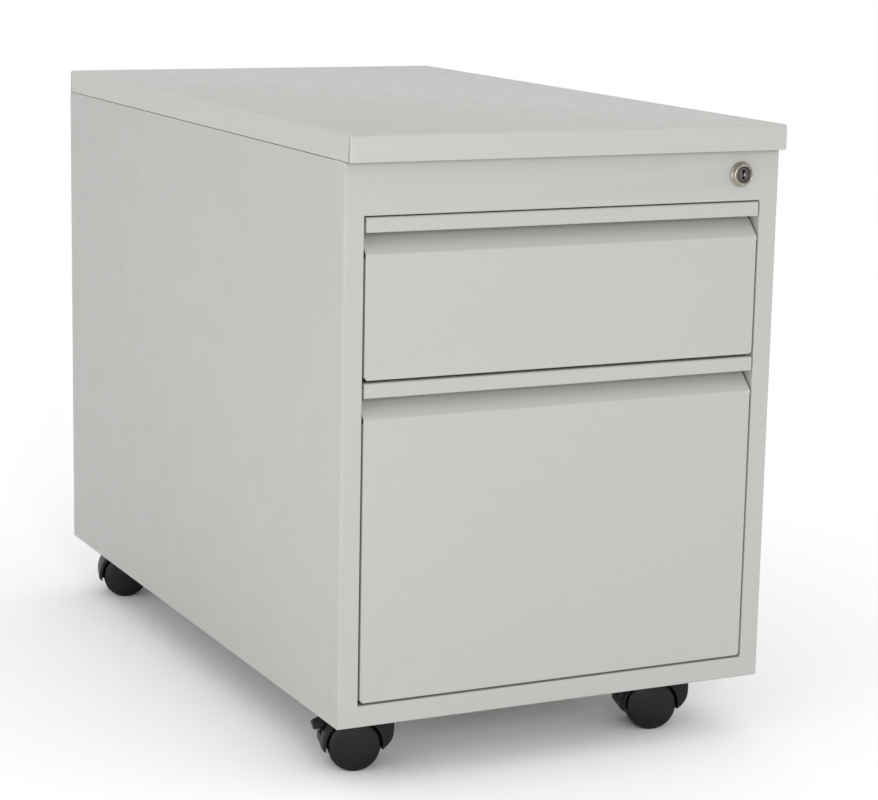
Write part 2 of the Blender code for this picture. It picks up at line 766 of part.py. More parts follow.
def build_lock_bar():
    """Flat bar behind the right jamb, with a slotted arm for the cam and one tab for each drawer."""
    marker = empty_at("lock_bar_travel", (BAR_OUTER_X, FRONT + BAR_FRONT, BAR_LOW))
    outline = [
        (BAR_INNER_X, BAR_LOW),
        (BAR_OUTER_X, BAR_LOW),
        (BAR_OUTER_X, BAR_ARM_HIGH),
        (BAR_ARM_X, BAR_ARM_HIGH),
        (BAR_ARM_X, BAR_ARM_LOW),
        (BAR_INNER_X, BAR_ARM_LOW),
    ]
    for catch_z in (UPPER_CATCH_Z, LOWER_CATCH_Z):
        low = catch_z - TAB_BELOW_CATCH
        high = low + TAB_HEIGHT
        outline += [(BAR_INNER_X, high), (TAB_X, high), (TAB_X, low), (BAR_INNER_X, low)]
    span = (FRONT + BAR_FRONT, FRONT + BAR_FRONT + BAR_THICKNESS)
    bar = add_prism("lock_bar", outline, along_y, span, ZINC_STEEL, marker)
    near = LOCK_X + CAM_ARM * math.cos(CAM_REST) - SLOT_END_CLEARANCE
    far = LOCK_X + CAM_ARM + SLOT_END_CLEARANCE
    pin_z = LOCK_Z + CAM_ARM * math.sin(CAM_REST)
    slot_low = (near, FRONT, pin_z - SLOT_SIDE_CLEARANCE)
    slot_high = (far, FRONT + 2 * BAR_FRONT, pin_z + SLOT_SIDE_CLEARANCE)
    combine(bar, [box_tool(slot_low, slot_high)], "DIFFERENCE")


# Castors


def hood_contour():
    """Side view of the hood round the axle and the swivel boss, as X and Z from the swivel axis."""
    rim = arc((-TRAIL, WHEEL_RADIUS), HOOD_RADIUS, HOOD_ARC_START, HOOD_ARC_END, HOOD_ARC_STEPS)
    return [*HOOD_BOSS_SIDE, *rim, *HOOD_WEB_FOOT]


def hood_mesh(x, y):
    """Stacks scaled contours so that the hood rounds off towards both wheel faces."""
    bm = bmesh.new()
    contour = hood_contour()
    levels = [(-depth, scale) for depth, scale in HOOD_SECTIONS]
    levels += [(depth, scale) for depth, scale in HOOD_SECTIONS[::-1]]
    rings = []
    for depth, scale in levels:
        ring = []
        for u, v in contour:
            across = HOOD_MIDDLE[0] + (u - HOOD_MIDDLE[0]) * scale
            up = HOOD_MIDDLE[1] + (v - HOOD_MIDDLE[1]) * scale
            ring.append(bm.verts.new((x + across, y + depth, up)))
        rings.append(ring)
    for near, far in zip(rings, rings[1:]):
        bmesh.ops.bridge_loops(bm, edges=ring_edges(bm, near) + ring_edges(bm, far))
    for ring in (rings[0], rings[-1]):
        bm.faces.new(ring)
    return bm


def ring_edges(bm, ring):
    """The edges round a ring of vertices, made where they don't exist yet."""
    edges = []
    for pair in zip(ring, ring[1:] + ring[:1]):
        edges.append(bm.edges.get(pair) or bm.edges.new(pair))
    return edges


def build_hood(place, x, y, parent, with_pedal):
    hood = add_object(f"castor_hood_{place}", hood_mesh(x, y), BLACK_PLASTIC, parent)
    axle = (x - TRAIL, y, WHEEL_RADIUS)
    far = 2 * WHEEL_FACE
    tools = [
        cylinder_tool(axle, BACKWARD, HOOD_INNER_RADIUS, HOOD_WEB, far, ROUND_STEPS),
        cylinder_tool(axle, BACKWARD, HOOD_INNER_RADIUS, -far, -HOOD_WEB, ROUND_STEPS),
        cylinder_tool(axle, BACKWARD, WHEEL_BORE_RADIUS, -far, far),
        cylinder_tool((x, y, 0.0), UPWARD, STEM_BORE_RADIUS, STEM_LOW - GAP, BODY_TOP),
    ]
    if with_pedal:
        swivel = Vector((x, y, 0.0))
        tools.append(box_tool(swivel + NECK_SLOT_LOW, swivel + NECK_SLOT_HIGH))
        tools.append(box_tool(swivel + PAD_NOTCH_LOW, swivel + PAD_NOTCH_HIGH))
    combine(hood, tools, "DIFFERENCE")
    smooth(hood)


def build_wheels(place, x, y, parent):
    axle = (x - TRAIL, y, WHEEL_RADIUS)
    axle_profile = (
        (0.0, -AXLE_HALF_LENGTH),
        (AXLE_RADIUS, -AXLE_HALF_LENGTH),
        (AXLE_RADIUS, AXLE_HALF_LENGTH),
        (0.0, AXLE_HALF_LENGTH),
    )
    name = f"castor_axle_{place}"
    add_lathe(name, axle_profile, axle, BACKWARD, SMALL_ROUND_STEPS, ZINC_STEEL, parent)
    wheel = (
        (0.0, WHEEL_BORE_END),
        (WHEEL_BORE_RADIUS, WHEEL_BORE_END),
        (WHEEL_BORE_RADIUS, WHEEL_INNER),
        (WHEEL_RADIUS - WHEEL_EDGE, WHEEL_INNER),
        (WHEEL_RADIUS, WHEEL_INNER + WHEEL_EDGE),
        (WHEEL_RADIUS, WHEEL_TREAD_END - WHEEL_EDGE),
        (WHEEL_RADIUS - WHEEL_EDGE, WHEEL_TREAD_END + WHEEL_EDGE / 2),
        *((WHEEL_RADIUS * share, WHEEL_FACE - drop) for share, drop in WHEEL_DOME),
    )
    for side, sign in (("a", -1.0), ("b", 1.0)):
        marker = empty_at(f"castor_roll_{place}_{side}", (-TRAIL, 0.0, WHEEL_RADIUS), parent)
        profile = [(radius, sign * far) for radius, far in wheel]
        name = f"castor_wheel_{place}_{side}"
        add_lathe(name, profile, axle, BACKWARD, ROUND_STEPS, BLACK_PLASTIC, marker)


def build_stem(place, x, y):
    stem = (
        (0.0, STEM_LOW),
        (STEM_RADIUS, STEM_LOW),
        (STEM_RADIUS, STEM_FLANGE_LOW),
        (STEM_FLANGE_RADIUS, STEM_FLANGE_LOW),
        (STEM_FLANGE_RADIUS, BODY_BOTTOM - GAP),
        (STUD_RADIUS, BODY_BOTTOM - GAP),
        (STUD_RADIUS, STUD_HIGH),
        (0.0, STUD_HIGH),
    )
    name = f"castor_stem_{place}"
    add_lathe(name, stem, (x, y, 0.0), UPWARD, SMALL_ROUND_STEPS, ZINC_STEEL)


def build_pedal(place, x, y, parent):
    """Brake lever: a narrow neck in the hood's slot and a ribbed pad outside it."""
    hinge = Vector(PEDAL_HINGE)
    along = Vector(PEDAL_TIP) - hinge
    length = along.length
    along.normalize()
    up = Vector((along.y, -along.x))
    half = PEDAL_THICKNESS / 2
    pad = [(PEDAL_PAD_START, -half), (PEDAL_PAD_START, half), (PEDAL_RIB_START, half)]
    pitch = (length - PEDAL_RIB_START) / PEDAL_RIBS
    for rib in range(PEDAL_RIBS):
        start = PEDAL_RIB_START + rib * pitch
        pad.append((start, half + PEDAL_RIB))
        pad.append((start + pitch / 2, half + PEDAL_RIB))
        pad.append((start + pitch / 2, half))
        pad.append((start + pitch, half))
    pad += [(length + PEDAL_NOSE, 0.0), (length, -half)]
    end = PEDAL_HINGE_RADIUS
    far = PEDAL_PAD_START + PEDAL_NECK_OVERLAP
    neck = [(-end, -half), (-end, half), (far, half), (far, -half)]

    def placed(local):
        points = [hinge + along * away + up * high for away, high in local]
        return [(x + point.x, point.y) for point in points]

    marker = empty_at(f"brake_hinge_{place}", (hinge.x, 0.0, hinge.y), parent)
    span = (y - PEDAL_HALF_WIDTH, y + PEDAL_HALF_WIDTH)
    pedal = add_prism(f"brake_pedal_{place}", placed(pad), along_y, span, BLACK_PLASTIC, marker)
    span = (y - PEDAL_NECK_HALF_WIDTH, y + PEDAL_NECK_HALF_WIDTH)
    tool = add_object("tool", prism(placed(neck), along_y, span), None)
    combine(pedal, [tool], "UNION")
    smooth(pedal)


def build_castors():
    for place, (x, y) in CASTOR_PLACES.items():
        build_stem(place, x, y)
        swivel = empty_at(f"castor_swivel_{place}", (x, y, 0.0))
        with_pedal = place.startswith("front")
        build_hood(place, x, y, swivel, with_pedal)
        build_wheels(place, x, y, swivel)
        if with_pedal:
            build_pedal(place, x, y, swivel)
        swivel.rotation_euler.z = CASTOR_TURN


build_top()
build_front_frame()
build_shell()
build_base_channels()
UPPER_FRONT = (UPPER_FRONT_BOTTOM, UPPER_FRONT_TOP)
LOWER_FRONT = (LOWER_FRONT_BOTTOM, LOWER_FRONT_TOP)
build_drawer("upper", UPPER_FRONT, (UPPER_TUB_LOW, UPPER_TUB_HIGH), UPPER_SLIDE_Z, UPPER_CATCH_Z)
LOWER = build_drawer("lower", LOWER_FRONT, (LOWER_TUB_LOW, LOWER_TUB_HIGH), LOWER_SLIDE_Z, LOWER_CATCH_Z)
build_hanging_rails(LOWER)
build_lock()
build_lock_bar()
build_castors()
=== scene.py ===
"""Looks of the two-drawer mobile filing cabinet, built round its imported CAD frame.

Axes as in the CAD: +X right, +Y to the back, +Z up, metres. The front faces -Y.
"""

import json
import math

import bmesh
import bpy
from mathutils import Matrix, Vector


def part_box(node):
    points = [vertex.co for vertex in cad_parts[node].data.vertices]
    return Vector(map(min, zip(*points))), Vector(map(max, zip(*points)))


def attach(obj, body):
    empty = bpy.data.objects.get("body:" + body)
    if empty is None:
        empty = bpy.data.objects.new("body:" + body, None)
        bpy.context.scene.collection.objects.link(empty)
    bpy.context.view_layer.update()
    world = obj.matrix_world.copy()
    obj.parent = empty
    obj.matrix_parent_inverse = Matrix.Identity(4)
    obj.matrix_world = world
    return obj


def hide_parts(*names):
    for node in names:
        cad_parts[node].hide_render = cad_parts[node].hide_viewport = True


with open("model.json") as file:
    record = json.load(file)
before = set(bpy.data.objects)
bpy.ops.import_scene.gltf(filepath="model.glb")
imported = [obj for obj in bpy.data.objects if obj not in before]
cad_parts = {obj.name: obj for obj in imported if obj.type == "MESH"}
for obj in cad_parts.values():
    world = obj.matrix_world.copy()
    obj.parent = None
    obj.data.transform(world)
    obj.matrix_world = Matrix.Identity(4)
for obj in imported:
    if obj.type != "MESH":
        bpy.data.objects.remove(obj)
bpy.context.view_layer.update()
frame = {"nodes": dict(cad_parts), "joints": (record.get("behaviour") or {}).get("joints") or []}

# Planes of the body, from the CAD nodes
BOARD_LOW_CORNER, BOARD_HIGH_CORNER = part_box("top_edge_band")
FASCIA_LOW, FASCIA_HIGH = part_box("front_fascia")
RAIL_LOW, RAIL_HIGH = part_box("front_bottom_rail")
JAMB_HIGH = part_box("front_jamb_left")[1]
HALF_WIDTH = BOARD_HIGH_CORNER.x
BACK = BOARD_HIGH_CORNER.y
FRONT = FASCIA_LOW.y
FRAME_BACK = JAMB_HIGH.y
BODY_BOTTOM = RAIL_LOW.z
BODY_TOP = FASCIA_HIGH.z
OPENING_HALF = -JAMB_HIGH.x
OPENING_LOW = RAIL_HIGH.z
OPENING_HIGH = FASCIA_LOW.z
TOP_RETURN = FASCIA_HIGH.y - FRONT

# Sheet metal
SHEET = 0.001
FRONT_SHEET = 0.0012
CORNER_RADIUS = 0.0022
FOLD_RADIUS = 0.0015
FRAME_TAIL = 0.0098
BEND_STEPS = 6
SHEET_EDGE = 0.0002
WELD = 0.000001

# Back, whose pressed field is given as (inset, depth) steps, and its rivets
BACK_RECESS = 0.0010
FIELD_STEPS = ((0.0, 0.0), (0.038, 0.0), (0.0388, 0.0003), (0.0422, 0.0027), (0.043, 0.003))
RIVET_INSET = 0.010
RIVET_END = 0.030
RIVET_GAPS = 5
RIVET_STEPS = 16
RIVET_PROFILE = (
    (0.0, 0.0009),
    (0.0014, 0.0008),
    (0.0024, 0.0004),
    (0.0028, -0.0001),
    (0.0, -0.0001),
)

# Board
BAND = 0.003
BAND_RADIUS = 0.0026
BAND_LOW_RADIUS = 0.0007
BOARD_EDGE = 0.0003
CORE_CORNER_LOW = 0.004
CORE_CORNER_HIGH = 0.0006
SEAM_OPEN = 0.0028
SEAM_CLOSED = 0.0003
SEAM_REACH = 0.0001

# Drawer fronts
PULL_DEPTH = 0.019
PULL_DROP = 0.0186
STRIP_HEIGHT = 0.0132
FACE_RADIUS = 0.0012
NOTCH = 0.0003
RELIEF_BELOW_BEND = 0.003
PULL_BEND_RADIUS = 0.0024
WEB_RADIUS = 0.0010
HEM_RADIUS = 0.00015
HEM_LENGTH = 0.008
FLANGE_SHORTFALL = 0.005

# Tubs
TUB_CORNER = 0.0030
TUB_BEND = 0.0016
SMALLEST_CORNER = 0.0002
RIM_WIDTH = 0.0050
RIM_HEIGHT = 0.0022
RIM_RADIUS = 0.0009
RIB_COUNT = 5
RIB_FIRST = 0.09
RIB_PITCH = 0.12
RIB_HALF_LENGTH = 0.14
RIB_HALF_WIDTH = 0.004
RIB_SUNK = 0.0005
RIB_HEIGHT = 0.0012
RIB_RADIUS = 0.0008

# Lock. The profiles are (radius, distance behind the front) round its axis, the keyway is (x, z)
LOCK_STEPS = 96
LOCK_HOLE_RADIUS = 0.0095
LOCK_HOLE_REACH = 0.01
BEZEL_PROFILE = (
    (0.00725, 0.0160),
    (0.00725, -0.0046),
    (0.00740, -0.0050),
    (0.00755, -0.0052),
    (0.00790, -0.0052),
    (0.00800, -0.0050),
    (0.00805, -0.0042),
    (0.00845, -0.0042),
    (0.00850, -0.0051),
    (0.00865, -0.0055),
    (0.00885, -0.0056),
    (0.00915, -0.00552),
    (0.00940, -0.00530),
    (0.00955, -0.00495),
    (0.01065, -0.0022),
    (0.01085, -0.0018),
    (0.01110, -0.00165),
    (0.01128, -0.0014),
    (0.01130, -0.0011),
    (0.01130, -0.0002),
    (0.01110, 0.0),
    (0.00920, 0.0),
    (0.00920, 0.0160),
)
PLUG_PROFILE = (
    (0.0, -0.0046),
    (0.0049, -0.0046),
    (0.0051, -0.0045),
    (0.0052, -0.0038),
    (0.0055, -0.0038),
    (0.0056, -0.0046),
    (0.0059, -0.0049),
    (0.0063, -0.0049),
    (0.0067, -0.0046),
    (0.0070, -0.0040),
    (0.0070, 0.0165),
    (0.0033, 0.0165),
    (0.0033, 0.0265),
    (0.0, 0.0265),
)
PLUG_EDGE = 0.00008
KEYWAY = (
    (-0.0006, 0.0043),
    (0.0013, 0.0043),
    (0.0013, 0.0016),
    (0.0024, 0.0009),
    (0.0024, -0.0012),
    (0.0012, -0.0020),
    (0.0012, -0.0043),
    (-0.0012, -0.0043),
    (-0.0012, -0.0024),
    (-0.0003, -0.0016),
    (-0.0003, 0.0005),
    (-0.0015, 0.0012),
    (-0.0015, 0.0037),
)
KEYWAY_SPAN = (-0.008, 0.004)
SHUTTER_LOW = (0.0009, -0.0040, -0.0016)
SHUTTER_HIGH = (0.0027, -0.0032, 0.0014)
SHUTTER_RADIUS = 0.0002

# Castors, as X and Z from the swivel axis before the castor is turned
PLACES = ("front_left", "front_right", "rear_left", "rear_right")
TRAIL = 0.020
WHEEL_RADIUS = 0.0238
HOOD_RADIUS = 0.0291
HOOD_ARC_START = 98.0
HOOD_ARC_END = 188.0
HOOD_ARC_STEPS = 24
POCKET_RADIUS = 0.0258
HOOD_WEB = 0.0044
HOOD_HALF = 0.0223
HOOD_SHOULDER = 0.0160
HOOD_SHRINK = 0.075
HOOD_MIDDLE = (-0.020, 0.025)
HOOD_BOSS = (
    (0.0032, 0.0172),
    (0.0092, 0.0214),
    (0.0134, 0.0262),
    (0.0157, 0.0310),
    (0.0164, 0.0358),
    (0.0165, 0.0412),
    (0.0165, 0.0500),
    (0.0157, 0.0536),
    (0.0130, 0.0546),
)
HOOD_FOOT = ((-0.0452, 0.0172), (-0.0370, 0.0150), (-0.0200, 0.0132), (-0.0050, 0.0150))
HOOD_EDGE = 0.00045
AXLE_RADIUS = 0.0033
STEM_HOLE_RADIUS = 0.0041
STEM_HOLE_FLOOR = 0.0392
TOOL_REACH = 0.05
STEM_TOOL_TOP = 0.1
NECK_SLOT_LOW = (-0.0700, -0.0050, 0.0290)
NECK_SLOT_HIGH = (-0.0310, 0.0050, 0.0600)
PAD_NOTCH_LOW = (-0.0700, -0.0115, 0.0350)
PAD_NOTCH_HIGH = (-0.0420, 0.0115, 0.0600)
PEDAL_HINGE = (-0.0350, 0.0, 0.0480)
PEDAL_TIP = (-0.0552, 0.0, 0.0380)
PEDAL_PAD_START = 0.0115
PEDAL_HALF_WIDTH = 0.0110
PAD_TAPER = 0.004
PAD_STATIONS = (
    (-1.0, 0.0013),
    (-0.96, 0.0004),
    (-0.89, 0.0),
    (0.89, 0.0),
    (0.96, 0.0004),
    (1.0, 0.0013),
)
NECK_OVERLAP = 0.001
NECK_STATIONS = ((-0.0045, 0.8), (-0.0041, 1.0), (0.0041, 1.0), (0.0045, 0.8))
STUD_COLUMNS = 11
STUD_LINES = 5
STUD_SIDE_MARGIN = 0.0016
STUD_NEAR_MARGIN = 0.0012
STUD_FAR_MARGIN = 0.0010
STUD_LEVELS = ((1.0, 0.0013), (0.3, 0.0021))

# Wheels, as (radius, distance from the castor's middle)
WHEEL_STEPS = 96
WHEEL_PROFILE = (
    (0.0, 0.0185),
    (AXLE_RADIUS, 0.0185),
    (AXLE_RADIUS, 0.0050),
    (WHEEL_RADIUS - 0.0025, 0.0050),
    (WHEEL_RADIUS - 0.0012, 0.0052),
    (WHEEL_RADIUS - 0.0004, 0.0057),
    (WHEEL_RADIUS, 0.0066),
    (WHEEL_RADIUS, 0.0196),
    (WHEEL_RADIUS - 0.0003, 0.0206),
    (WHEEL_RADIUS - 0.0010, 0.0214),
    (WHEEL_RADIUS - 0.0019, 0.0220),
    (WHEEL_RADIUS - 0.0028, 0.0224),
    (WHEEL_RADIUS - 0.0045, 0.0230),
    (WHEEL_RADIUS - 0.0070, 0.0236),
    (WHEEL_RADIUS - 0.0100, 0.0241),
    (WHEEL_RADIUS - 0.0140, 0.0246),
    (WHEEL_RADIUS - 0.0190, 0.0249),
    (0.0, 0.0250),
)

# Studio. Lights are (place, target, size, watts), and the camera's angles are in radians
WORLD_STRENGTH = 1.02
FLOOR_HALF = 60.0
KEY_LIGHT = ((-0.95, -3.65, 1.41), (0.0, -0.36, 0.3), 0.8, 29.0)
FILL_LIGHT = ((-1.9, -1.1, 0.25), (-0.2, -0.2, 0.2), 0.8, 6.0)
CAMERA_PLACE = (-1.0829, -2.3295, 0.7813)
CAMERA_AZIMUTH = -0.45414
CAMERA_ELEVATION = 0.19707
CAMERA_ROLL = 0.019805
CAMERA_LENS = 105.76


# Materials


class Paint:
    """A node material under construction. Its methods add nodes and return their outputs."""

    def __init__(self, name, metallic=0.0):
        self.material = bpy.data.materials.new(name)
        self.material.use_nodes = True
        self.tree = self.material.node_tree
        self.shader = self.tree.nodes["Principled BSDF"]
        self.shader.inputs["Metallic"].default_value = metallic
        self.place = self.add("ShaderNodeTexCoord").outputs["Object"]

    def add(self, kind, **settings):
        node = self.tree.nodes.new(kind)
        for key, value in settings.items():
            setattr(node, key, value)
        return node

    def feed(self, socket, value):
        if isinstance(value, bpy.types.NodeSocket):
            self.tree.links.new(value, socket)
        else:
            socket.default_value = value

    def scaled(self, scale):
        """Object coordinates, with each axis scaled on its own."""
        node = self.add("ShaderNodeMapping")
        self.feed(node.inputs["Vector"], self.place)
        node.inputs["Scale"].default_value = scale
        return node.outputs["Vector"]

    def radius_from(self, flatten):
        """Distance from the object's own axis, as a vector along X. flatten zeroes the axis."""
        flat = self.scaled(flatten)
        length = self.add("ShaderNodeVectorMath", operation="LENGTH")
        self.feed(length.inputs[0], flat)
        joined = self.add("ShaderNodeCombineXYZ")
        self.feed(joined.inputs["X"], length.outputs["Value"])
        return joined.outputs["Vector"]

    def noise(self, scale, detail=2.0, roughness=0.5, vector=None):
        node = self.add("ShaderNodeTexNoise")
        self.feed(node.inputs["Vector"], self.place if vector is None else vector)
        node.inputs["Scale"].default_value = scale
        node.inputs["Detail"].default_value = detail
        node.inputs["Roughness"].default_value = roughness
        return node.outputs["Fac"]

    def cells(self, scale, vector=None):
        node = self.add("ShaderNodeTexVoronoi", feature="F1")
        self.feed(node.inputs["Vector"], self.place if vector is None else vector)
        node.inputs["Scale"].default_value = scale
        split = self.add("ShaderNodeSeparateColor")
        self.feed(split.inputs["Color"], node.outputs["Color"])
        return split.outputs["Red"]

    def edges(self, radius):
        """1 on sharp edges, 0 on flat faces."""
        bevel = self.add("ShaderNodeBevel", samples=4)
        bevel.inputs["Radius"].default_value = radius
        geometry = self.add("ShaderNodeNewGeometry")
        dot = self.add("ShaderNodeVectorMath", operation="DOT_PRODUCT")
        self.feed(dot.inputs[0], bevel.outputs["Normal"])
        self.feed(dot.inputs[1], geometry.outputs["Normal"])
        return self.fit(dot.outputs["Value"], 0.995, 0.75, 0.0, 1.0)

    def fit(self, value, low, high, to_low, to_high):
        node = self.add("ShaderNodeMapRange")
        self.feed(node.inputs["Value"], value)
        node.inputs["From Min"].default_value = low
        node.inputs["From Max"].default_value = high
        node.inputs["To Min"].default_value = to_low
        node.inputs["To Max"].default_value = to_high
        return node.outputs["Result"]

    def combine(self, operation, first, second):
        node = self.add("ShaderNodeMath", operation=operation)
        self.feed(node.inputs[0], first)
        self.feed(node.inputs[1], second)
        return node.outputs["Value"]

    def blend(self, share, first, second):
        node = self.add("ShaderNodeMix", data_type="RGBA")
        self.feed(node.inputs["Factor"], share)
        for socket, value in ((node.inputs[6], first), (node.inputs[7], second)):
            self.feed(socket, value if isinstance(value, bpy.types.NodeSocket) else (*value, 1.0))
        return node.outputs[2]

    def bump(self, height, distance, normal=None):
        node = self.add("ShaderNodeBump")
        node.inputs["Distance"].default_value = distance
        self.feed(node.inputs["Height"], height)
        if normal is not None:
            self.feed(node.inputs["Normal"], normal)
        return node.outputs["Normal"]

    def finish(self, colour, roughness, normal, specular=0.5):
        self.feed(self.shader.inputs["Base Color"], colour)
        self.feed(self.shader.inputs["Roughness"], roughness)
        self.feed(self.shader.inputs["Normal"], normal)
        self.shader.inputs["Specular IOR Level"].default_value = specular
        return self.material


def tinted(colour, factor):
    return tuple(channel * factor for channel in colour)


def clouded(paint, clouds, colour):
    """The colour with a faint, slow drift that follows a noise."""
    share = paint.fit(clouds, 0.3, 0.7, 0.0, 1.0)
    return paint.blend(share, tinted(colour, 0.994), tinted(colour, 1.005))


def powder_coat(name, colour):
    """Fine-textured grey powder coat: orange peel, faint clouds and lighter, thinner edges."""
    paint = Paint(name)
    clouds = paint.noise(4.0, 3.0, 0.55)
    grains = paint.noise(1100.0, 2.0, 0.6)
    base = clouded(paint, clouds, colour)
    base = paint.blend(paint.fit(grains, 0.35, 0.75, 0.0, 0.5), base, tinted(colour, 0.93))
    patchy = paint.fit(paint.noise(60.0), 0.4, 0.6, 0.2, 0.7)
    worn = paint.combine("MULTIPLY", paint.edges(0.0009), patchy)
    base = paint.blend(worn, base, tinted(colour, 1.08))
    rough = paint.fit(paint.noise(25.0, 3.0), 0.3, 0.7, 0.44, 0.54)
    peel = paint.bump(paint.noise(420.0, 2.0, 0.45), 0.00006)
    fine = paint.bump(grains, 0.00001, peel)
    return paint.finish(base, rough, fine, 0.4)


def laminate(name, colour):
    """Pressed laminate: pearl-grained print under a satin skin."""
    paint = Paint(name)
    flecks = paint.noise(800.0, 3.0, 0.7)
    clouds = paint.noise(5.0, 4.0, 0.6)
    base = clouded(paint, clouds, colour)
    base = paint.blend(paint.fit(flecks, 0.45, 0.75, 0.0, 0.7), base, tinted(colour, 0.9))
    rough = paint.fit(paint.noise(40.0, 3.0), 0.3, 0.7, 0.36, 0.46)
    pearl = paint.bump(paint.noise(1500.0, 2.0, 0.6), 0.00002)
    return paint.finish(base, rough, pearl, 0.2)


def edge_band(name, colour, stretch):
    """Extruded plastic edging with fine lengthwise draw lines."""
    paint = Paint(name)
    lines = paint.noise(900.0, 3.0, 0.6, paint.scaled(stretch))
    patches = paint.noise(9.0, 3.0)
    base = clouded(paint, patches, colour)
    base = paint.blend(paint.fit(lines, 0.4, 0.75, 0.0, 0.6), base, tinted(colour, 0.93))
    rough = paint.fit(lines, 0.3, 0.7, 0.36, 0.46)
    drawn = paint.bump(lines, 0.00002)
    return paint.finish(base, rough, drawn, 0.4)


def moulded_plastic(name, colour, roughness):
    """Black moulded plastic with a spark-eroded grain, dust and rubbed edges."""
    paint = Paint(name)
    grain = paint.noise(1400.0, 2.0, 0.6)
    dust = paint.noise(70.0, 4.0, 0.65)
    base = paint.blend(paint.fit(dust, 0.5, 0.8, 0.0, 0.5), colour, tinted(colour, 1.7))
    patchy = paint.fit(paint.noise(180.0), 0.4, 0.65, 0.1, 0.6)
    worn = paint.combine("MULTIPLY", paint.edges(0.0006), patchy)
    base = paint.blend(worn, base, tinted(colour, 2.6))
    rough = paint.fit(dust, 0.3, 0.7, roughness - 0.05, roughness + 0.09)
    return paint.finish(base, rough, paint.bump(grain, 0.00003), 0.22)


def tread_plastic(name, colour):
    """Hard wheel nylon, turned round its axle, with scuffs that follow the rolling."""
    paint = Paint(name)
    rings = paint.noise(1300.0, 3.0, 0.6, paint.radius_from((1.0, 0.0, 1.0)))
    scuffs = paint.noise(240.0, 4.0, 0.7, paint.scaled((1.0, 0.35, 1.0)))
    base = paint.blend(paint.fit(scuffs, 0.52, 0.75, 0.0, 0.6), colour, tinted(colour, 2.0))
    rough = paint.fit(rings, 0.3, 0.7, 0.36, 0.46)
    scored = paint.bump(scuffs, 0.00002)
    return paint.finish(base, rough, paint.bump(rings, 0.00002, scored), 0.3)


def zinc_steel(name, colour):
    """Bright zinc-plated strip: rolling lines along Y, plating spangle and a duller haze."""
    paint = Paint(name, 1.0)
    rolled = paint.noise(1500.0, 3.0, 0.6, paint.scaled((1.0, 0.03, 1.0)))
    spangle = paint.cells(260.0)
    haze = paint.noise(22.0, 4.0, 0.6)
    base = paint.blend(spangle, tinted(colour, 0.92), tinted(colour, 1.06))
    base = paint.blend(paint.fit(haze, 0.45, 0.75, 0.0, 0.5), base, tinted(colour, 0.8))
    streaks = paint.fit(rolled, 0.3, 0.7, 0.26, 0.4)
    rough = paint.combine("ADD", streaks, paint.fit(haze, 0.4, 0.8, 0.0, 0.14))
    return paint.finish(base, rough, paint.bump(rolled, 0.00002))


def nickel(name, colour, roughness):
    """Satin nickel, turned: rings round the lock's axis and a soft cast grain."""
    paint = Paint(name, 1.0)
    rings = paint.noise(2600.0, 3.0, 0.6, paint.radius_from((1.0, 0.0, 1.0)))
    grain = paint.noise(1700.0, 3.0, 0.6)
    tarnish = paint.noise(160.0, 4.0, 0.6)
    base = paint.blend(paint.fit(tarnish, 0.4, 0.75, 0.0, 0.8), colour, tinted(colour, 0.78))
    rough = paint.fit(rings, 0.3, 0.7, roughness - 0.05, roughness + 0.08)
    cast = paint.bump(grain, 0.00001)
    return paint.finish(base, rough, paint.bump(rings, 0.00002, cast))


def studio_floor(name, colour):
    paint = Paint(name)
    clouds = paint.noise(0.8, 2.0)
    base = paint.blend(clouds, tinted(colour, 0.995), tinted(colour, 1.005))
    rough = paint.fit(clouds, 0.3, 0.7, 0.85, 0.95)
    return paint.finish(base, rough, paint.bump(paint.noise(300.0), 0.00002), 0.1)


COAT = powder_coat("powder_coat", (0.430, 0.435, 0.415))
BOARD = laminate("laminate", (0.440, 0.441, 0.423))
BAND_COLOUR = (0.448, 0.443, 0.420)
BAND_X = edge_band("edge_band_x", BAND_COLOUR, (0.02, 1.0, 1.0))
BAND_Y = edge_band("edge_band_y", BAND_COLOUR, (1.0, 0.02, 1.0))
HOOD_PLASTIC = moulded_plastic("hood_plastic", (0.0072, 0.0072, 0.0076), 0.48)
PEDAL_PLASTIC = moulded_plastic("pedal_plastic", (0.0120, 0.0120, 0.0125), 0.50)
WHEEL_PLASTIC = tread_plastic("wheel_plastic", (0.0035, 0.0035, 0.0038))
ZINC = zinc_steel("zinc_steel", (0.55, 0.56, 0.57))
NICKEL = nickel("nickel", (0.52, 0.475, 0.41), 0.27)
PLUG_NICKEL = nickel("plug_nickel", (0.135, 0.118, 0.120), 0.34)
FLOOR = studio_floor("studio_floor", (0.98, 0.98, 0.98))
CAD_FINISHES = {
    "powder_coat": COAT,
    "zinc_steel": ZINC,
    "nickel": PLUG_NICKEL,
    "black_plastic": HOOD_PLASTIC,
    "laminate": BOARD,
    "edge_band": BAND_X,
}


# Mesh tools


def make_piece(name, bm, material, body, replaces=(), origin=(0.0, 0.0, 0.0), degrees=35):
    """Turns a bmesh drawn round its origin into a piece that stands for CAD nodes."""
    mesh = bpy.data.meshes.new(name)
    bm.to_mesh(mesh)
    bm.free()
    mesh.materials.append(material)
    obj = bpy.data.objects.new(name, mesh)
    bpy.context.scene.collection.objects.link(obj)
    obj.location = origin
    smooth(obj, degrees)
    if body:
        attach(obj, body)
    if replaces:
        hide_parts(*replaces)
    return obj


def smooth(obj, degrees=35):
    obj.data.shade_smooth()
    obj.data.set_sharp_from_angle(angle=math.radians(degrees))


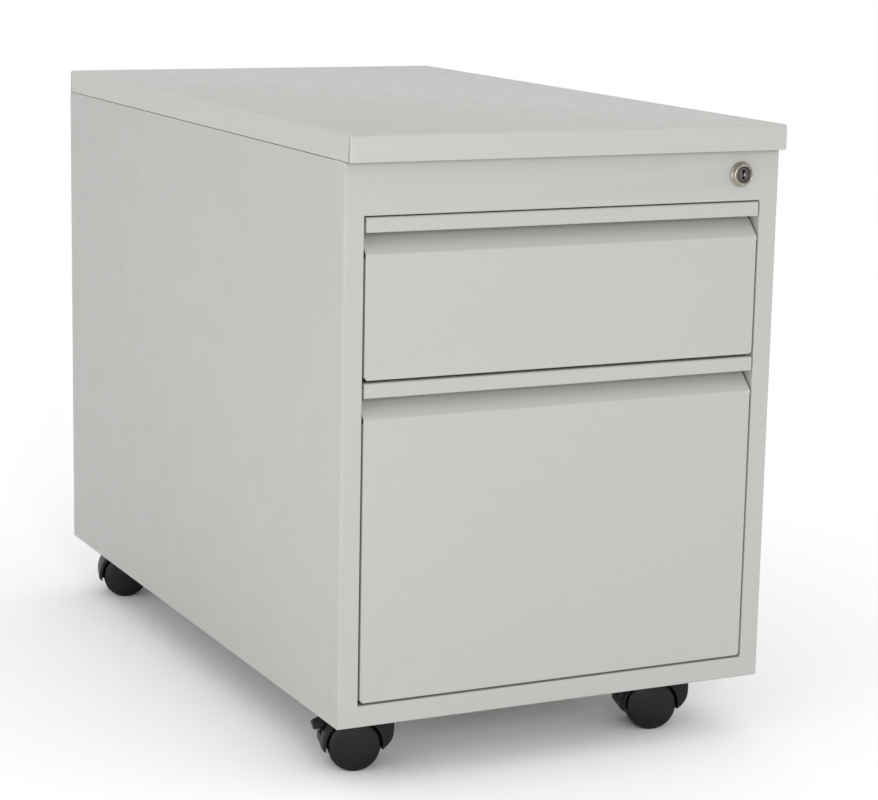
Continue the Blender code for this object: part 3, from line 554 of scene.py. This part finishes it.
def bake(obj, degrees=35):
    """Replaces the mesh by what its modifiers make of it."""
    bpy.context.view_layer.update()
    graph = bpy.context.evaluated_depsgraph_get()
    baked = bpy.data.meshes.new_from_object(obj.evaluated_get(graph))
    baked.name = obj.name
    obj.modifiers.clear()
    obj.data = baked
    smooth(obj, degrees)


def thicken(obj, thickness):
    """Gives the drawn surface its sheet thickness on the side that its normals point away from."""
    modifier = obj.modifiers.new("sheet", "SOLIDIFY")
    modifier.thickness = thickness
    modifier.offset = -1.0
    modifier.use_even_offset = True


def soften(obj, width, segments=2, degrees=50):
    modifier = obj.modifiers.new("edges", "BEVEL")
    modifier.width = width
    modifier.segments = segments
    modifier.limit_method = "ANGLE"
    modifier.angle_limit = math.radians(degrees)
    modifier.harden_normals = False


def cut(obj, tools, operation="DIFFERENCE"):
    for tool in tools:
        modifier = obj.modifiers.new("cut", "BOOLEAN")
        modifier.operation = operation
        modifier.solver = "EXACT"
        modifier.object = tool
    bake(obj)
    for tool in tools:
        bpy.data.objects.remove(tool, do_unlink=True)


def tool_from(bm):
    mesh = bpy.data.meshes.new("tool")
    bmesh.ops.recalc_face_normals(bm, faces=bm.faces)
    bm.to_mesh(mesh)
    bm.free()
    obj = bpy.data.objects.new("tool", mesh)
    bpy.context.scene.collection.objects.link(obj)
    return obj


def block(low, high):
    bm = bmesh.new()
    bmesh.ops.create_cube(bm, size=1.0)
    bmesh.ops.scale(bm, verts=bm.verts, vec=Vector(high) - Vector(low))
    bmesh.ops.translate(bm, verts=bm.verts, vec=(Vector(high) + Vector(low)) / 2)
    return bm


def rounded_block(low, high, radius, segments):
    bm = block(low, high)
    bmesh.ops.bevel(
        bm, geom=bm.edges[:], offset=radius, segments=segments, profile=0.5, affect="EDGES"
    )
    return bm


def quarter(steps=BEND_STEPS):
    """Angles from 0 to a right angle."""
    return [math.pi / 2 * step / steps for step in range(steps + 1)]


def add_rows(bm, rows, closed=False):
    """Faces between rows of points. A closed row joins its last point to its first."""
    made = [[bm.verts.new(point) for point in row] for row in rows]
    for first, second in zip(made, made[1:]):
        pairs = list(zip(first, first[1:])) + ([(first[-1], first[0])] if closed else [])
        others = list(zip(second, second[1:])) + ([(second[-1], second[0])] if closed else [])
        for (a, b), (c, d) in zip(pairs, others):
            bm.faces.new((a, b, d, c))
    return made


def add_capped(bm, rows):
    """A solid of closed rows with a face at either end."""
    made = add_rows(bm, rows, closed=True)
    bm.faces.new(made[0])
    bm.faces.new(made[-1])


def weld(bm, outward=None):
    """Merges the drawn rows. outward is a point and the way that the face nearest to it looks."""
    bmesh.ops.remove_doubles(bm, verts=bm.verts, dist=WELD)
    bmesh.ops.recalc_face_normals(bm, faces=bm.faces)
    if outward:
        probe, direction = outward
        nearest = min(bm.faces, key=lambda face: (face.calc_center_median() - Vector(probe)).length)
        if nearest.normal.dot(Vector(direction)) < 0:
            bmesh.ops.reverse_faces(bm, faces=bm.faces)


def rounded_line(points, radii, steps=BEND_STEPS):
    """The open line through the points with each inner corner drawn as an arc."""
    line = [Vector(points[0])]
    for corner, before, after, radius in zip(points[1:], points, points[2:], radii):
        corner = Vector(corner)
        back = (Vector(before) - corner).normalized()
        on = (Vector(after) - corner).normalized()
        half = back.angle(on) / 2
        centre = corner + (back + on).normalized() * radius / math.sin(half)
        start = corner + back * radius / math.tan(half) - centre
        end = corner + on * radius / math.tan(half) - centre
        for step in range(steps + 1):
            line.append(centre + start.lerp(end, step / steps).normalized() * radius)
    line.append(Vector(points[-1]))
    return line


def lathe(profile, steps):
    """A solid of revolution round the local Y axis, from (radius, distance) pairs."""
    bm = bmesh.new()
    rings = []
    for step in range(steps):
        angle = 2 * math.pi * step / steps
        across, up = math.cos(angle), math.sin(angle)
        rings.append([(radius * across, far, radius * up) for radius, far in profile])
    rings.append(rings[0])
    closed = profile[0][0] > 0.0
    add_rows(bm, rings, closed)
    bmesh.ops.remove_doubles(bm, verts=bm.verts, dist=WELD)
    bmesh.ops.dissolve_degenerate(bm, dist=WELD, edges=bm.edges)
    bmesh.ops.recalc_face_normals(bm, faces=bm.faces)
    return bm


def rod(centre, axis, radius, low, high, steps=48):
    """A round cutting tool along an axis."""
    bm = lathe(((0.0, low), (radius, low), (radius, high), (0.0, high)), steps)
    turn = Vector((0.0, 1.0, 0.0)).rotation_difference(Vector(axis)).to_matrix().to_4x4()
    bmesh.ops.transform(bm, matrix=Matrix.Translation(Vector(centre)) @ turn, verts=bm.verts)
    return tool_from(bm)


# Body


def frame_loop(half, low, high, y):
    return [(-half, y, low), (half, y, low), (half, y, high), (-half, y, high)]


def build_body():
    """Sides, jambs, fascia and bottom rail, folded and welded as one sheet-steel shell."""
    loops = []
    grown = FRAME_TAIL
    loops.append(
        frame_loop(OPENING_HALF + grown, OPENING_LOW - grown, OPENING_HIGH + grown, FRAME_BACK)
    )
    for angle in quarter():
        grown = FOLD_RADIUS * (1 - math.sin(angle))
        y = FRAME_BACK - FOLD_RADIUS * (1 - math.cos(angle))
        loops.append(frame_loop(OPENING_HALF + grown, OPENING_LOW - grown, OPENING_HIGH + grown, y))
    for angle in quarter():
        grown = FOLD_RADIUS * (1 - math.cos(angle))
        y = FRONT + FOLD_RADIUS * (1 - math.sin(angle))
        loops.append(frame_loop(OPENING_HALF + grown, OPENING_LOW - grown, OPENING_HIGH + grown, y))
    for angle in quarter():
        inset = CORNER_RADIUS * (1 - math.sin(angle))
        y = FRONT + CORNER_RADIUS * (1 - math.cos(angle))
        loops.append(frame_loop(HALF_WIDTH - inset, BODY_BOTTOM + inset, BODY_TOP - inset, y))
    loops.append(frame_loop(HALF_WIDTH, BODY_BOTTOM, BODY_TOP, FRAME_BACK))
    bm = bmesh.new()
    add_rows(bm, loops, closed=True)
    arch = []
    for y in (FRAME_BACK, FRONT + TOP_RETURN):
        corners = frame_loop(HALF_WIDTH, BODY_BOTTOM, BODY_TOP, y)
        arch.append(corners[1:] + corners[:1])
    add_rows(bm, arch)
    for x in (-HALF_WIDTH, HALF_WIDTH):
        rows = [[(x, y, BODY_BOTTOM), (x, y, BODY_TOP)] for y in (FRONT + TOP_RETURN, BACK)]
        add_rows(bm, rows)
    weld(bm, ((0.0, FRONT, (OPENING_HIGH + BODY_TOP) / 2), (0.0, -1.0, 0.0)))
    nodes = (
        "side_panel_left",
        "side_panel_right",
        "front_jamb_left",
        "front_jamb_right",
        "front_fascia",
        "front_bottom_rail",
    )
    body = make_piece("body_shell", bm, COAT, "cabinet", nodes)
    thicken(body, SHEET)
    hole = rod(lock_centre(), (0, 1, 0), LOCK_HOLE_RADIUS, -LOCK_HOLE_REACH, LOCK_HOLE_REACH)
    cut(body, [hole])
    soften(body, SHEET_EDGE)
    bake(body)


def build_back():
    """Back sheet between the sides, with a pressed field and rivets along both edges."""
    low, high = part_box("back_panel")
    face = BACK - BACK_RECESS
    bm = bmesh.new()
    rings = []
    for inset, depth in FIELD_STEPS:
        y = face - depth
        ring = [
            (low.x + inset, y, low.z + inset),
            (high.x - inset, y, low.z + inset),
            (high.x - inset, y, high.z - inset),
            (low.x + inset, y, high.z - inset),
        ]
        rings.append(ring)
    rows = add_rows(bm, rings, closed=True)
    bm.faces.new(rows[-1])
    weld(bm, ((0.0, face, (low.z + high.z) / 2), (0.0, 1.0, 0.0)))
    back = make_piece("back_sheet", bm, COAT, "cabinet", ("back_panel",))
    thicken(back, SHEET)
    soften(back, SHEET_EDGE)
    bake(back)
    heads = bmesh.new()
    pitch = (high.z - low.z - 2 * RIVET_END) / RIVET_GAPS
    for x in (low.x + RIVET_INSET, high.x - RIVET_INSET):
        for step in range(RIVET_GAPS + 1):
            z = low.z + RIVET_END + step * pitch
            head = lathe(RIVET_PROFILE, RIVET_STEPS)
            bmesh.ops.translate(head, verts=head.verts, vec=(x, face, z))
            append_mesh(heads, head)
    make_piece("back_rivets", heads, ZINC, "cabinet")


def append_mesh(target, source):
    mesh = bpy.data.meshes.new("part")
    source.to_mesh(mesh)
    source.free()
    target.from_mesh(mesh)
    bpy.data.meshes.remove(mesh)


def cut_rectangle(half_x, half_y, corner, z):
    """A rectangle with its corners cut off, counted round from the front right."""
    points = []
    for sign_x, sign_y in ((1, -1), (1, 1), (-1, 1), (-1, -1)):
        along_x = (sign_x * (half_x - corner), sign_y * half_y, z)
        along_y = (sign_x * half_x, sign_y * (half_y - corner), z)
        points += [along_x, along_y] if sign_x != sign_y else [along_y, along_x]
    return points


def build_board():
    """Laminated board with four glued edge strips that meet in visible seams at the corners."""
    low, high = BOARD_LOW_CORNER, BOARD_HIGH_CORNER
    inner = (HALF_WIDTH - BAND, BACK - BAND)
    core = bmesh.new()
    levels = ((low.z, CORE_CORNER_LOW), (high.z, CORE_CORNER_HIGH))
    add_capped(core, [cut_rectangle(*inner, corner, z) for z, corner in levels])
    bmesh.ops.recalc_face_normals(core, faces=core.faces)
    bmesh.ops.bevel(
        core, geom=core.edges[:], offset=BOARD_EDGE, segments=2, profile=0.5, affect="EDGES"
    )
    make_piece("top_laminate", core, BOARD, "cabinet", ("top_panel",))
    far = 1.0
    strips = {
        "edge_strip_front": ((-far, -far, 0.0), (far, -inner[1], far), BAND_X),
        "edge_strip_back": ((-far, inner[1], 0.0), (far, far, far), BAND_X),
        "edge_strip_left": ((-far, -inner[1], 0.0), (-inner[0], inner[1], far), BAND_Y),
        "edge_strip_right": ((inner[0], -inner[1], 0.0), (far, inner[1], far), BAND_Y),
    }
    for name, (strip_low, strip_high, material) in strips.items():
        whole = block(low, high)
        lowest = edges_below(whole, low.z + WELD)
        others = [edge for edge in whole.edges if edge not in lowest]
        bmesh.ops.bevel(
            whole, geom=others, offset=BAND_RADIUS, segments=5, profile=0.5, affect="EDGES"
        )
        lowest = edges_below(whole, low.z + WELD)
        bmesh.ops.bevel(
            whole, geom=lowest, offset=BAND_LOW_RADIUS, segments=3, profile=0.5, affect="EDGES"
        )
        nodes = ("top_edge_band",) if name == "edge_strip_front" else ()
        strip = make_piece(name, whole, material, "cabinet", nodes)
        cut(strip, [tool_from(block(strip_low, strip_high))], "INTERSECT")
        if "left" in name or "right" in name:
            open_seam(strip, inner[1], low.z, high.z)


def edges_below(bm, height):
    return [edge for edge in bm.edges if max(vertex.co.z for vertex in edge.verts) < height]


def open_seam(strip, reach, low, high):
    """Draws both ends of a side strip back, more at the bottom, so that the joints show."""
    for vertex in strip.data.vertices:
        if abs(abs(vertex.co.y) - reach) < SEAM_REACH:
            share = (vertex.co.z - low) / (high - low)
            gap = SEAM_OPEN + (SEAM_CLOSED - SEAM_OPEN) * share
            vertex.co.y -= math.copysign(gap, vertex.co.y)


# Drawers


def build_drawer_front(level):
    """A folded tray with relief notches, a sloping finger pull and a hemmed lip strip."""
    low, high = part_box(f"{level}_drawer_front")
    t = FRONT_SHEET
    half = high.x
    inner = half - FACE_RADIUS
    strip_low = high.z - STRIP_HEIGHT
    bend = strip_low - PULL_DROP
    relief = bend - RELIEF_BELOW_BEND
    hem = strip_low + t
    web = FRONT + PULL_DEPTH
    points = (
        (FRONT, relief),
        (FRONT, bend),
        (web, bend + PULL_DEPTH),
        (web, high.z - t),
        (FRONT + t, high.z - t),
        (FRONT + t, hem),
        (FRONT + t + 2 * HEM_RADIUS, hem),
        (FRONT + t + 2 * HEM_RADIUS, hem + HEM_LENGTH),
    )
    radii = (PULL_BEND_RADIUS, WEB_RADIUS, WEB_RADIUS, WEB_RADIUS, HEM_RADIUS, HEM_RADIUS)
    line = rounded_line(points, radii)
    bm = bmesh.new()
    add_rows(bm, [[(x, y, z) for x in (-half, -inner, inner, half)] for y, z in line])
    face_low = low.z + FACE_RADIUS
    corner = FACE_RADIUS + NOTCH
    outline = (
        (-inner, relief),
        (-inner, face_low + corner),
        (-inner, face_low),
        (-inner + corner, face_low),
        (inner - corner, face_low),
        (inner, face_low),
        (inner, face_low + corner),
        (inner, relief),
    )
    bm.faces.new([bm.verts.new((x, FRONT, z)) for x, z in outline])
    back = high.y - FLANGE_SHORTFALL
    bends = []
    for angle in quarter():
        bends.append((FACE_RADIUS * math.sin(angle), FRONT + FACE_RADIUS * (1 - math.cos(angle))))
    bends.append((FACE_RADIUS, back))
    for sign in (-1, 1):
        span = (face_low + corner, relief)
        add_rows(bm, [[(sign * (inner + out), y, z) for z in span] for out, y in bends])
    span = (-inner + corner, inner - corner)
    add_rows(bm, [[(x, y, face_low - out) for x in span] for out, y in bends])
    weld(bm, ((0.0, FRONT, (face_low + relief) / 2), (0.0, -1.0, 0.0)))
    body = f"{level}_drawer"
    nodes = (f"{level}_drawer_front",)
    front = make_piece(f"{level}_front_sheet", bm, COAT, body, nodes)
    thicken(front, t)
    soften(front, SHEET_EDGE)
    bake(front)


def rounded_rectangle(half, y_low, y_high, inset, radius, steps=6):
    """Corner points of a rounded rectangle in X and Y, counted round from the front right."""
    points = []
    corners = (
        (half - inset, y_low + inset, -90),
        (half - inset, y_high - inset, 0),
        (-half + inset, y_high - inset, 90),
        (-half + inset, y_low + inset, 180),
    )
    for x, y, start in corners:
        centre_x = x - math.copysign(radius, x)
        centre_y = y + radius if y == y_low + inset else y - radius
        for step in range(steps + 1):
            angle = math.radians(start + 90 * step / steps)
            across = radius * math.cos(angle)
            points.append((centre_x + across, centre_y + radius * math.sin(angle)))
    return points


def build_tub(level):
    """Pressed drawer body with rounded bends, floor ribs and rolled rims on both sides."""
    low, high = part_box(f"{level}_drawer_tub")
    rows = []
    for angle in quarter():
        inset = TUB_BEND * (1 - math.sin(angle))
        z = low.z + TUB_BEND * (1 - math.cos(angle))
        corner = max(TUB_CORNER - inset, SMALLEST_CORNER)
        ring = rounded_rectangle(high.x, low.y, high.y, inset, corner)
        rows.append([(x, y, z) for x, y in ring])
    ring = rounded_rectangle(high.x, low.y, high.y, 0.0, TUB_CORNER)
    rows.append([(x, y, high.z) for x, y in ring])
    bm = bmesh.new()
    made = add_rows(bm, rows, closed=True)
    bm.faces.new(made[0])
    weld(bm, ((0.0, low.y, (low.z + high.z) / 2), (0.0, -1.0, 0.0)))
    body = f"{level}_drawer"
    nodes = (f"{level}_drawer_tub",)
    tub = make_piece(f"{level}_tub_sheet", bm, COAT, body, nodes)
    thicken(tub, SHEET)
    bake(tub)
    rims = []
    for sign in (-1, 1):
        edge = sorted((sign * high.x, sign * (high.x - RIM_WIDTH)))
        rim_low = (edge[0], low.y + TUB_CORNER, high.z - RIM_HEIGHT)
        rim_high = (edge[1], high.y - TUB_CORNER, high.z)
        rims.append(tool_from(rounded_block(rim_low, rim_high, RIM_RADIUS, 4)))
    cut(tub, rims, "UNION")
    ribs = bmesh.new()
    floor = low.z + SHEET
    for step in range(RIB_COUNT):
        y = low.y + RIB_FIRST + step * RIB_PITCH
        rib_low = (-RIB_HALF_LENGTH, y - RIB_HALF_WIDTH, floor - RIB_SUNK)
        rib_high = (RIB_HALF_LENGTH, y + RIB_HALF_WIDTH, floor + RIB_HEIGHT)
        append_mesh(ribs, rounded_block(rib_low, rib_high, RIB_RADIUS, 3))
    make_piece(f"{level}_tub_ribs", ribs, COAT, body)


# Lock


def lock_centre():
    low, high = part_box("lock_housing")
    return Vector(((low.x + high.x) / 2, FRONT, (low.z + high.z) / 2))


def build_lock():
    """Turned bezel with a stepped mouth, and a plug with a crooked keyway and its dust shutter."""
    centre = lock_centre()
    bm = lathe(BEZEL_PROFILE, LOCK_STEPS)
    make_piece("lock_bezel", bm, NICKEL, "cabinet", ("lock_housing",), centre)
    bm = lathe(PLUG_PROFILE, LOCK_STEPS)
    nodes = ("lock_cylinder",)
    core = make_piece("lock_plug", bm, PLUG_NICKEL, "lock_core", nodes, centre)
    bm = bmesh.new()
    rows = [[(x, y, z) for x, z in KEYWAY] for y in KEYWAY_SPAN]
    add_capped(bm, rows)
    slot = tool_from(bm)
    slot.location = centre
    cut(core, [slot])
    soften(core, PLUG_EDGE, 2, 40)
    bake(core)
    bm = rounded_block(SHUTTER_LOW, SHUTTER_HIGH, SHUTTER_RADIUS, 2)
    make_piece("lock_shutter", bm, ZINC, "lock_core", (), centre)


# Castors


def placed_on(place, bm):
    """Turns what is drawn round the swivel axis, trailing along -X, to its angle at rest."""
    bmesh.ops.rotate(bm, verts=bm.verts, matrix=Matrix.Rotation(castor_turn(place), 3, "Z"))


def castor_turn(place):
    """How far the castor is turned at rest, from its axle's joint."""
    axis = joint_named(f"castor_roll_{place}_a")["axis"]
    return math.atan2(-axis[0], axis[1])


def joint_named(name):
    return next(joint for joint in frame["joints"] if joint["name"] == name)


def hood_outline():
    """Side view of the hood from the swivel axis, with its own corners rounded."""
    points = list(HOOD_BOSS)
    for step in range(HOOD_ARC_STEPS + 1):
        share = step / HOOD_ARC_STEPS
        angle = math.radians(HOOD_ARC_START + (HOOD_ARC_END - HOOD_ARC_START) * share)
        x = -TRAIL + HOOD_RADIUS * math.cos(angle)
        points.append((x, WHEEL_RADIUS + HOOD_RADIUS * math.sin(angle)))
    points += HOOD_FOOT
    for _ in range(2):
        rounded = []
        for (ax, az), (bx, bz) in zip(points, points[1:] + points[:1]):
            rounded.append((ax * 0.75 + bx * 0.25, az * 0.75 + bz * 0.25))
            rounded.append((ax * 0.25 + bx * 0.75, az * 0.25 + bz * 0.75))
        points = rounded
    return points


def hood_mesh():
    """Stacks scaled outlines, so that the hood rounds off towards both wheel faces."""
    outline = hood_outline()
    levels = []
    for angle in quarter()[::-1]:
        depth = HOOD_SHOULDER + (HOOD_HALF - HOOD_SHOULDER) * math.sin(angle)
        levels.append((-depth, 1 - HOOD_SHRINK * (1 - math.cos(angle))))
    levels += [(-depth, scale) for depth, scale in levels[::-1]]
    rows = []
    for depth, scale in levels:
        row = []
        for x, z in outline:
            across = HOOD_MIDDLE[0] + (x - HOOD_MIDDLE[0]) * scale
            row.append((across, depth, HOOD_MIDDLE[1] + (z - HOOD_MIDDLE[1]) * scale))
        rows.append(row)
    bm = bmesh.new()
    add_capped(bm, rows)
    bmesh.ops.recalc_face_normals(bm, faces=bm.faces)
    return bm


def build_castor(place):
    """Hood with its pockets and holes cut, two wheels, and a brake pedal on a front castor."""
    low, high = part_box(f"castor_stem_{place}")
    x, y = (low.x + high.x) / 2, (low.y + high.y) / 2
    turn = castor_turn(place)
    body = f"castor_{place}"
    nodes = (f"castor_hood_{place}",)
    hood = make_piece(
        f"hood_{place}", hood_mesh(), HOOD_PLASTIC, body, nodes, (x, y, 0.0)
    )
    axle = Vector((-TRAIL, 0.0, WHEEL_RADIUS))
    tools = [
        rod(axle, (0, 1, 0), POCKET_RADIUS, HOOD_WEB, TOOL_REACH, 96),
        rod(axle, (0, 1, 0), POCKET_RADIUS, -TOOL_REACH, -HOOD_WEB, 96),
        rod(axle, (0, 1, 0), AXLE_RADIUS, -TOOL_REACH, TOOL_REACH, 32),
        rod((0.0, 0.0, 0.0), (0, 0, 1), STEM_HOLE_RADIUS, STEM_HOLE_FLOOR, STEM_TOOL_TOP, 32),
    ]
    if place.startswith("front"):
        tools.append(tool_from(block(NECK_SLOT_LOW, NECK_SLOT_HIGH)))
        tools.append(tool_from(block(PAD_NOTCH_LOW, PAD_NOTCH_HIGH)))
    for tool in tools:
        tool.location = (x, y, 0.0)
    cut(hood, tools)
    soften(hood, HOOD_EDGE, 2, 40)
    bake(hood, 40)
    hood.data.transform(Matrix.Rotation(turn, 4, "Z"))
    centre = Vector((x, y, 0.0)) + Matrix.Rotation(turn, 3, "Z") @ axle
    for side, sign in (("a", -1.0), ("b", 1.0)):
        build_wheel(place, side, sign, centre)
    if place.startswith("front"):
        build_pedal(place, x, y)


def build_wheel(place, side, sign, centre):
    """Twin wheel with a rounded tread shoulder and a shallow domed face."""
    bm = lathe([(radius, sign * far) for radius, far in WHEEL_PROFILE], WHEEL_STEPS)
    name = f"wheel_{place}_{side}"
    nodes = (f"castor_wheel_{place}_{side}",)
    wheel = make_piece(name, bm, WHEEL_PLASTIC, None, nodes, centre)
    wheel.rotation_euler.z = castor_turn(place)
    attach(wheel, name)


def build_pedal(place, x, y):
    """Brake lever: a narrow neck from the hinge and a wide pad of small pyramids."""
    hinge = Vector(PEDAL_HINGE)
    along = (Vector(PEDAL_TIP) - hinge).normalized()
    up = Vector((along.z, 0.0, -along.x))
    length = (Vector(PEDAL_TIP) - hinge).length
    start = PEDAL_PAD_START
    half = PEDAL_HALF_WIDTH
    pad = (
        (start + 0.0002, -0.0014),
        (start, -0.0008),
        (start, 0.0006),
        (start + 0.0004, 0.0012),
        (start + 0.0010, 0.0014),
        (length - 0.0008, 0.0014),
        (length + 0.0004, 0.0009),
        (length + 0.0009, 0.0),
        (length + 0.0006, -0.0008),
        (length - 0.0004, -0.0015),
        (start + 0.0010, -0.0016),
    )
    bm = bmesh.new()
    middle = (start + length) / 2
    rows = []
    for side, shrink in PAD_STATIONS:
        row = []
        for far, high in pad:
            reach = middle + (far - middle) * (1 - shrink / (length - middle))
            lift = high * (1 - shrink / PAD_TAPER)
            point = hinge + along * reach + up * lift
            row.append((point.x, side * half, point.z))
        rows.append(row)
    add_capped(bm, rows)
    neck = (
        (-0.0018, -0.0010),
        (-0.0018, 0.0008),
        (-0.0010, 0.0016),
        (start + NECK_OVERLAP, 0.0012),
        (start + NECK_OVERLAP, -0.0012),
        (0.0, -0.0016),
    )
    rows = []
    for side, shrink in NECK_STATIONS:
        row = []
        for far, high in neck:
            point = hinge + along * far + up * high * shrink
            row.append((point.x, side, point.z))
        rows.append(row)
    add_capped(bm, rows)
    pitch_side = 2 * (half - STUD_SIDE_MARGIN) / STUD_COLUMNS
    pitch_far = (length - start - STUD_NEAR_MARGIN - STUD_FAR_MARGIN) / STUD_LINES
    for column in range(STUD_COLUMNS):
        for line in range(STUD_LINES):
            side = -half + STUD_SIDE_MARGIN + (column + 0.5) * pitch_side
            far = start + STUD_NEAR_MARGIN + (line + 0.5) * pitch_far
            add_stud(bm, hinge, along, up, side, far, pitch_side / 2, pitch_far / 2)
    bmesh.ops.recalc_face_normals(bm, faces=bm.faces)
    placed_on(place, bm)
    body = f"brake_{place}"
    nodes = (f"brake_pedal_{place}",)
    origin = (x, y, 0.0)
    make_piece(f"pedal_{place}", bm, PEDAL_PLASTIC, body, nodes, origin, 30)


def add_stud(bm, hinge, along, up, side, far, half_side, half_far):
    """A low pyramid that stands on the pad."""
    corners = ((-1, -1), (1, -1), (1, 1), (-1, 1))
    rings = []
    for share, high in STUD_LEVELS:
        ring = []
        for step_side, step_far in corners:
            point = hinge + along * (far + step_far * half_far * share) + up * high
            ring.append(bm.verts.new((point.x, side + step_side * half_side * share, point.z)))
        rings.append(ring)
    base, top = rings
    for index in range(4):
        after = (index + 1) % 4
        bm.faces.new((base[index], base[after], top[after], top[index]))
    bm.faces.new(top)
    bm.faces.new(base[::-1])


# Studio


def build_floor():
    """A white floor that runs out of every view."""
    bm = bmesh.new()
    bmesh.ops.create_grid(bm, x_segments=8, y_segments=8, size=FLOOR_HALF)
    floor = make_piece("studio_floor", bm, FLOOR, None)


def build_world(strength):
    world = bpy.data.worlds.new("studio")
    bpy.context.scene.world = world
    world.use_nodes = True
    background = world.node_tree.nodes["Background"]
    background.inputs["Color"].default_value = (1.0, 1.0, 1.0, 1.0)
    background.inputs["Strength"].default_value = strength


def add_light(name, place, target, size, energy):
    data = bpy.data.lights.new(name, "AREA")
    data.shape = "SQUARE"
    data.size = size
    data.energy = energy
    light = bpy.data.objects.new(name, data)
    bpy.context.scene.collection.objects.link(light)
    light.location = place
    light.rotation_euler = (Vector(target) - Vector(place)).to_track_quat("-Z", "Y").to_euler()


def build_camera():
    """The camera that the object's proportions were fitted with."""
    level = math.cos(CAMERA_ELEVATION)
    back = Vector((
        math.sin(CAMERA_AZIMUTH) * level,
        -math.cos(CAMERA_AZIMUTH) * level,
        math.sin(CAMERA_ELEVATION),
    ))
    right = (-back).cross(Vector((0.0, 0.0, 1.0))).normalized()
    up = back.cross(right)
    turned_right = math.cos(CAMERA_ROLL) * right + math.sin(CAMERA_ROLL) * up
    turned_up = -math.sin(CAMERA_ROLL) * right + math.cos(CAMERA_ROLL) * up
    data = bpy.data.cameras.new("camera")
    data.lens = CAMERA_LENS
    data.sensor_width = 36.0
    data.sensor_fit = "HORIZONTAL"
    camera = bpy.data.objects.new("camera", data)
    bpy.context.scene.collection.objects.link(camera)
    turn = Matrix((turned_right, turned_up, back)).transposed().to_4x4()
    camera.matrix_world = Matrix.Translation(CAMERA_PLACE) @ turn
    bpy.context.scene.camera = camera


for node in frame["nodes"].values():
    for holder in node.material_slots:
        slot_name = holder.material.name.split(".")[0]
        holder.material = CAD_FINISHES[slot_name]

build_body()
build_back()
build_board()
for drawer_level in ("upper", "lower"):
    build_drawer_front(drawer_level)
    build_tub(drawer_level)
build_lock()
for castor_place in PLACES:
    build_castor(castor_place)

build_floor()
build_world(WORLD_STRENGTH)
add_light("key", *KEY_LIGHT)
add_light("fill", *FILL_LIGHT)
build_camera()
bpy.context.scene.view_settings.view_transform = "Standard"
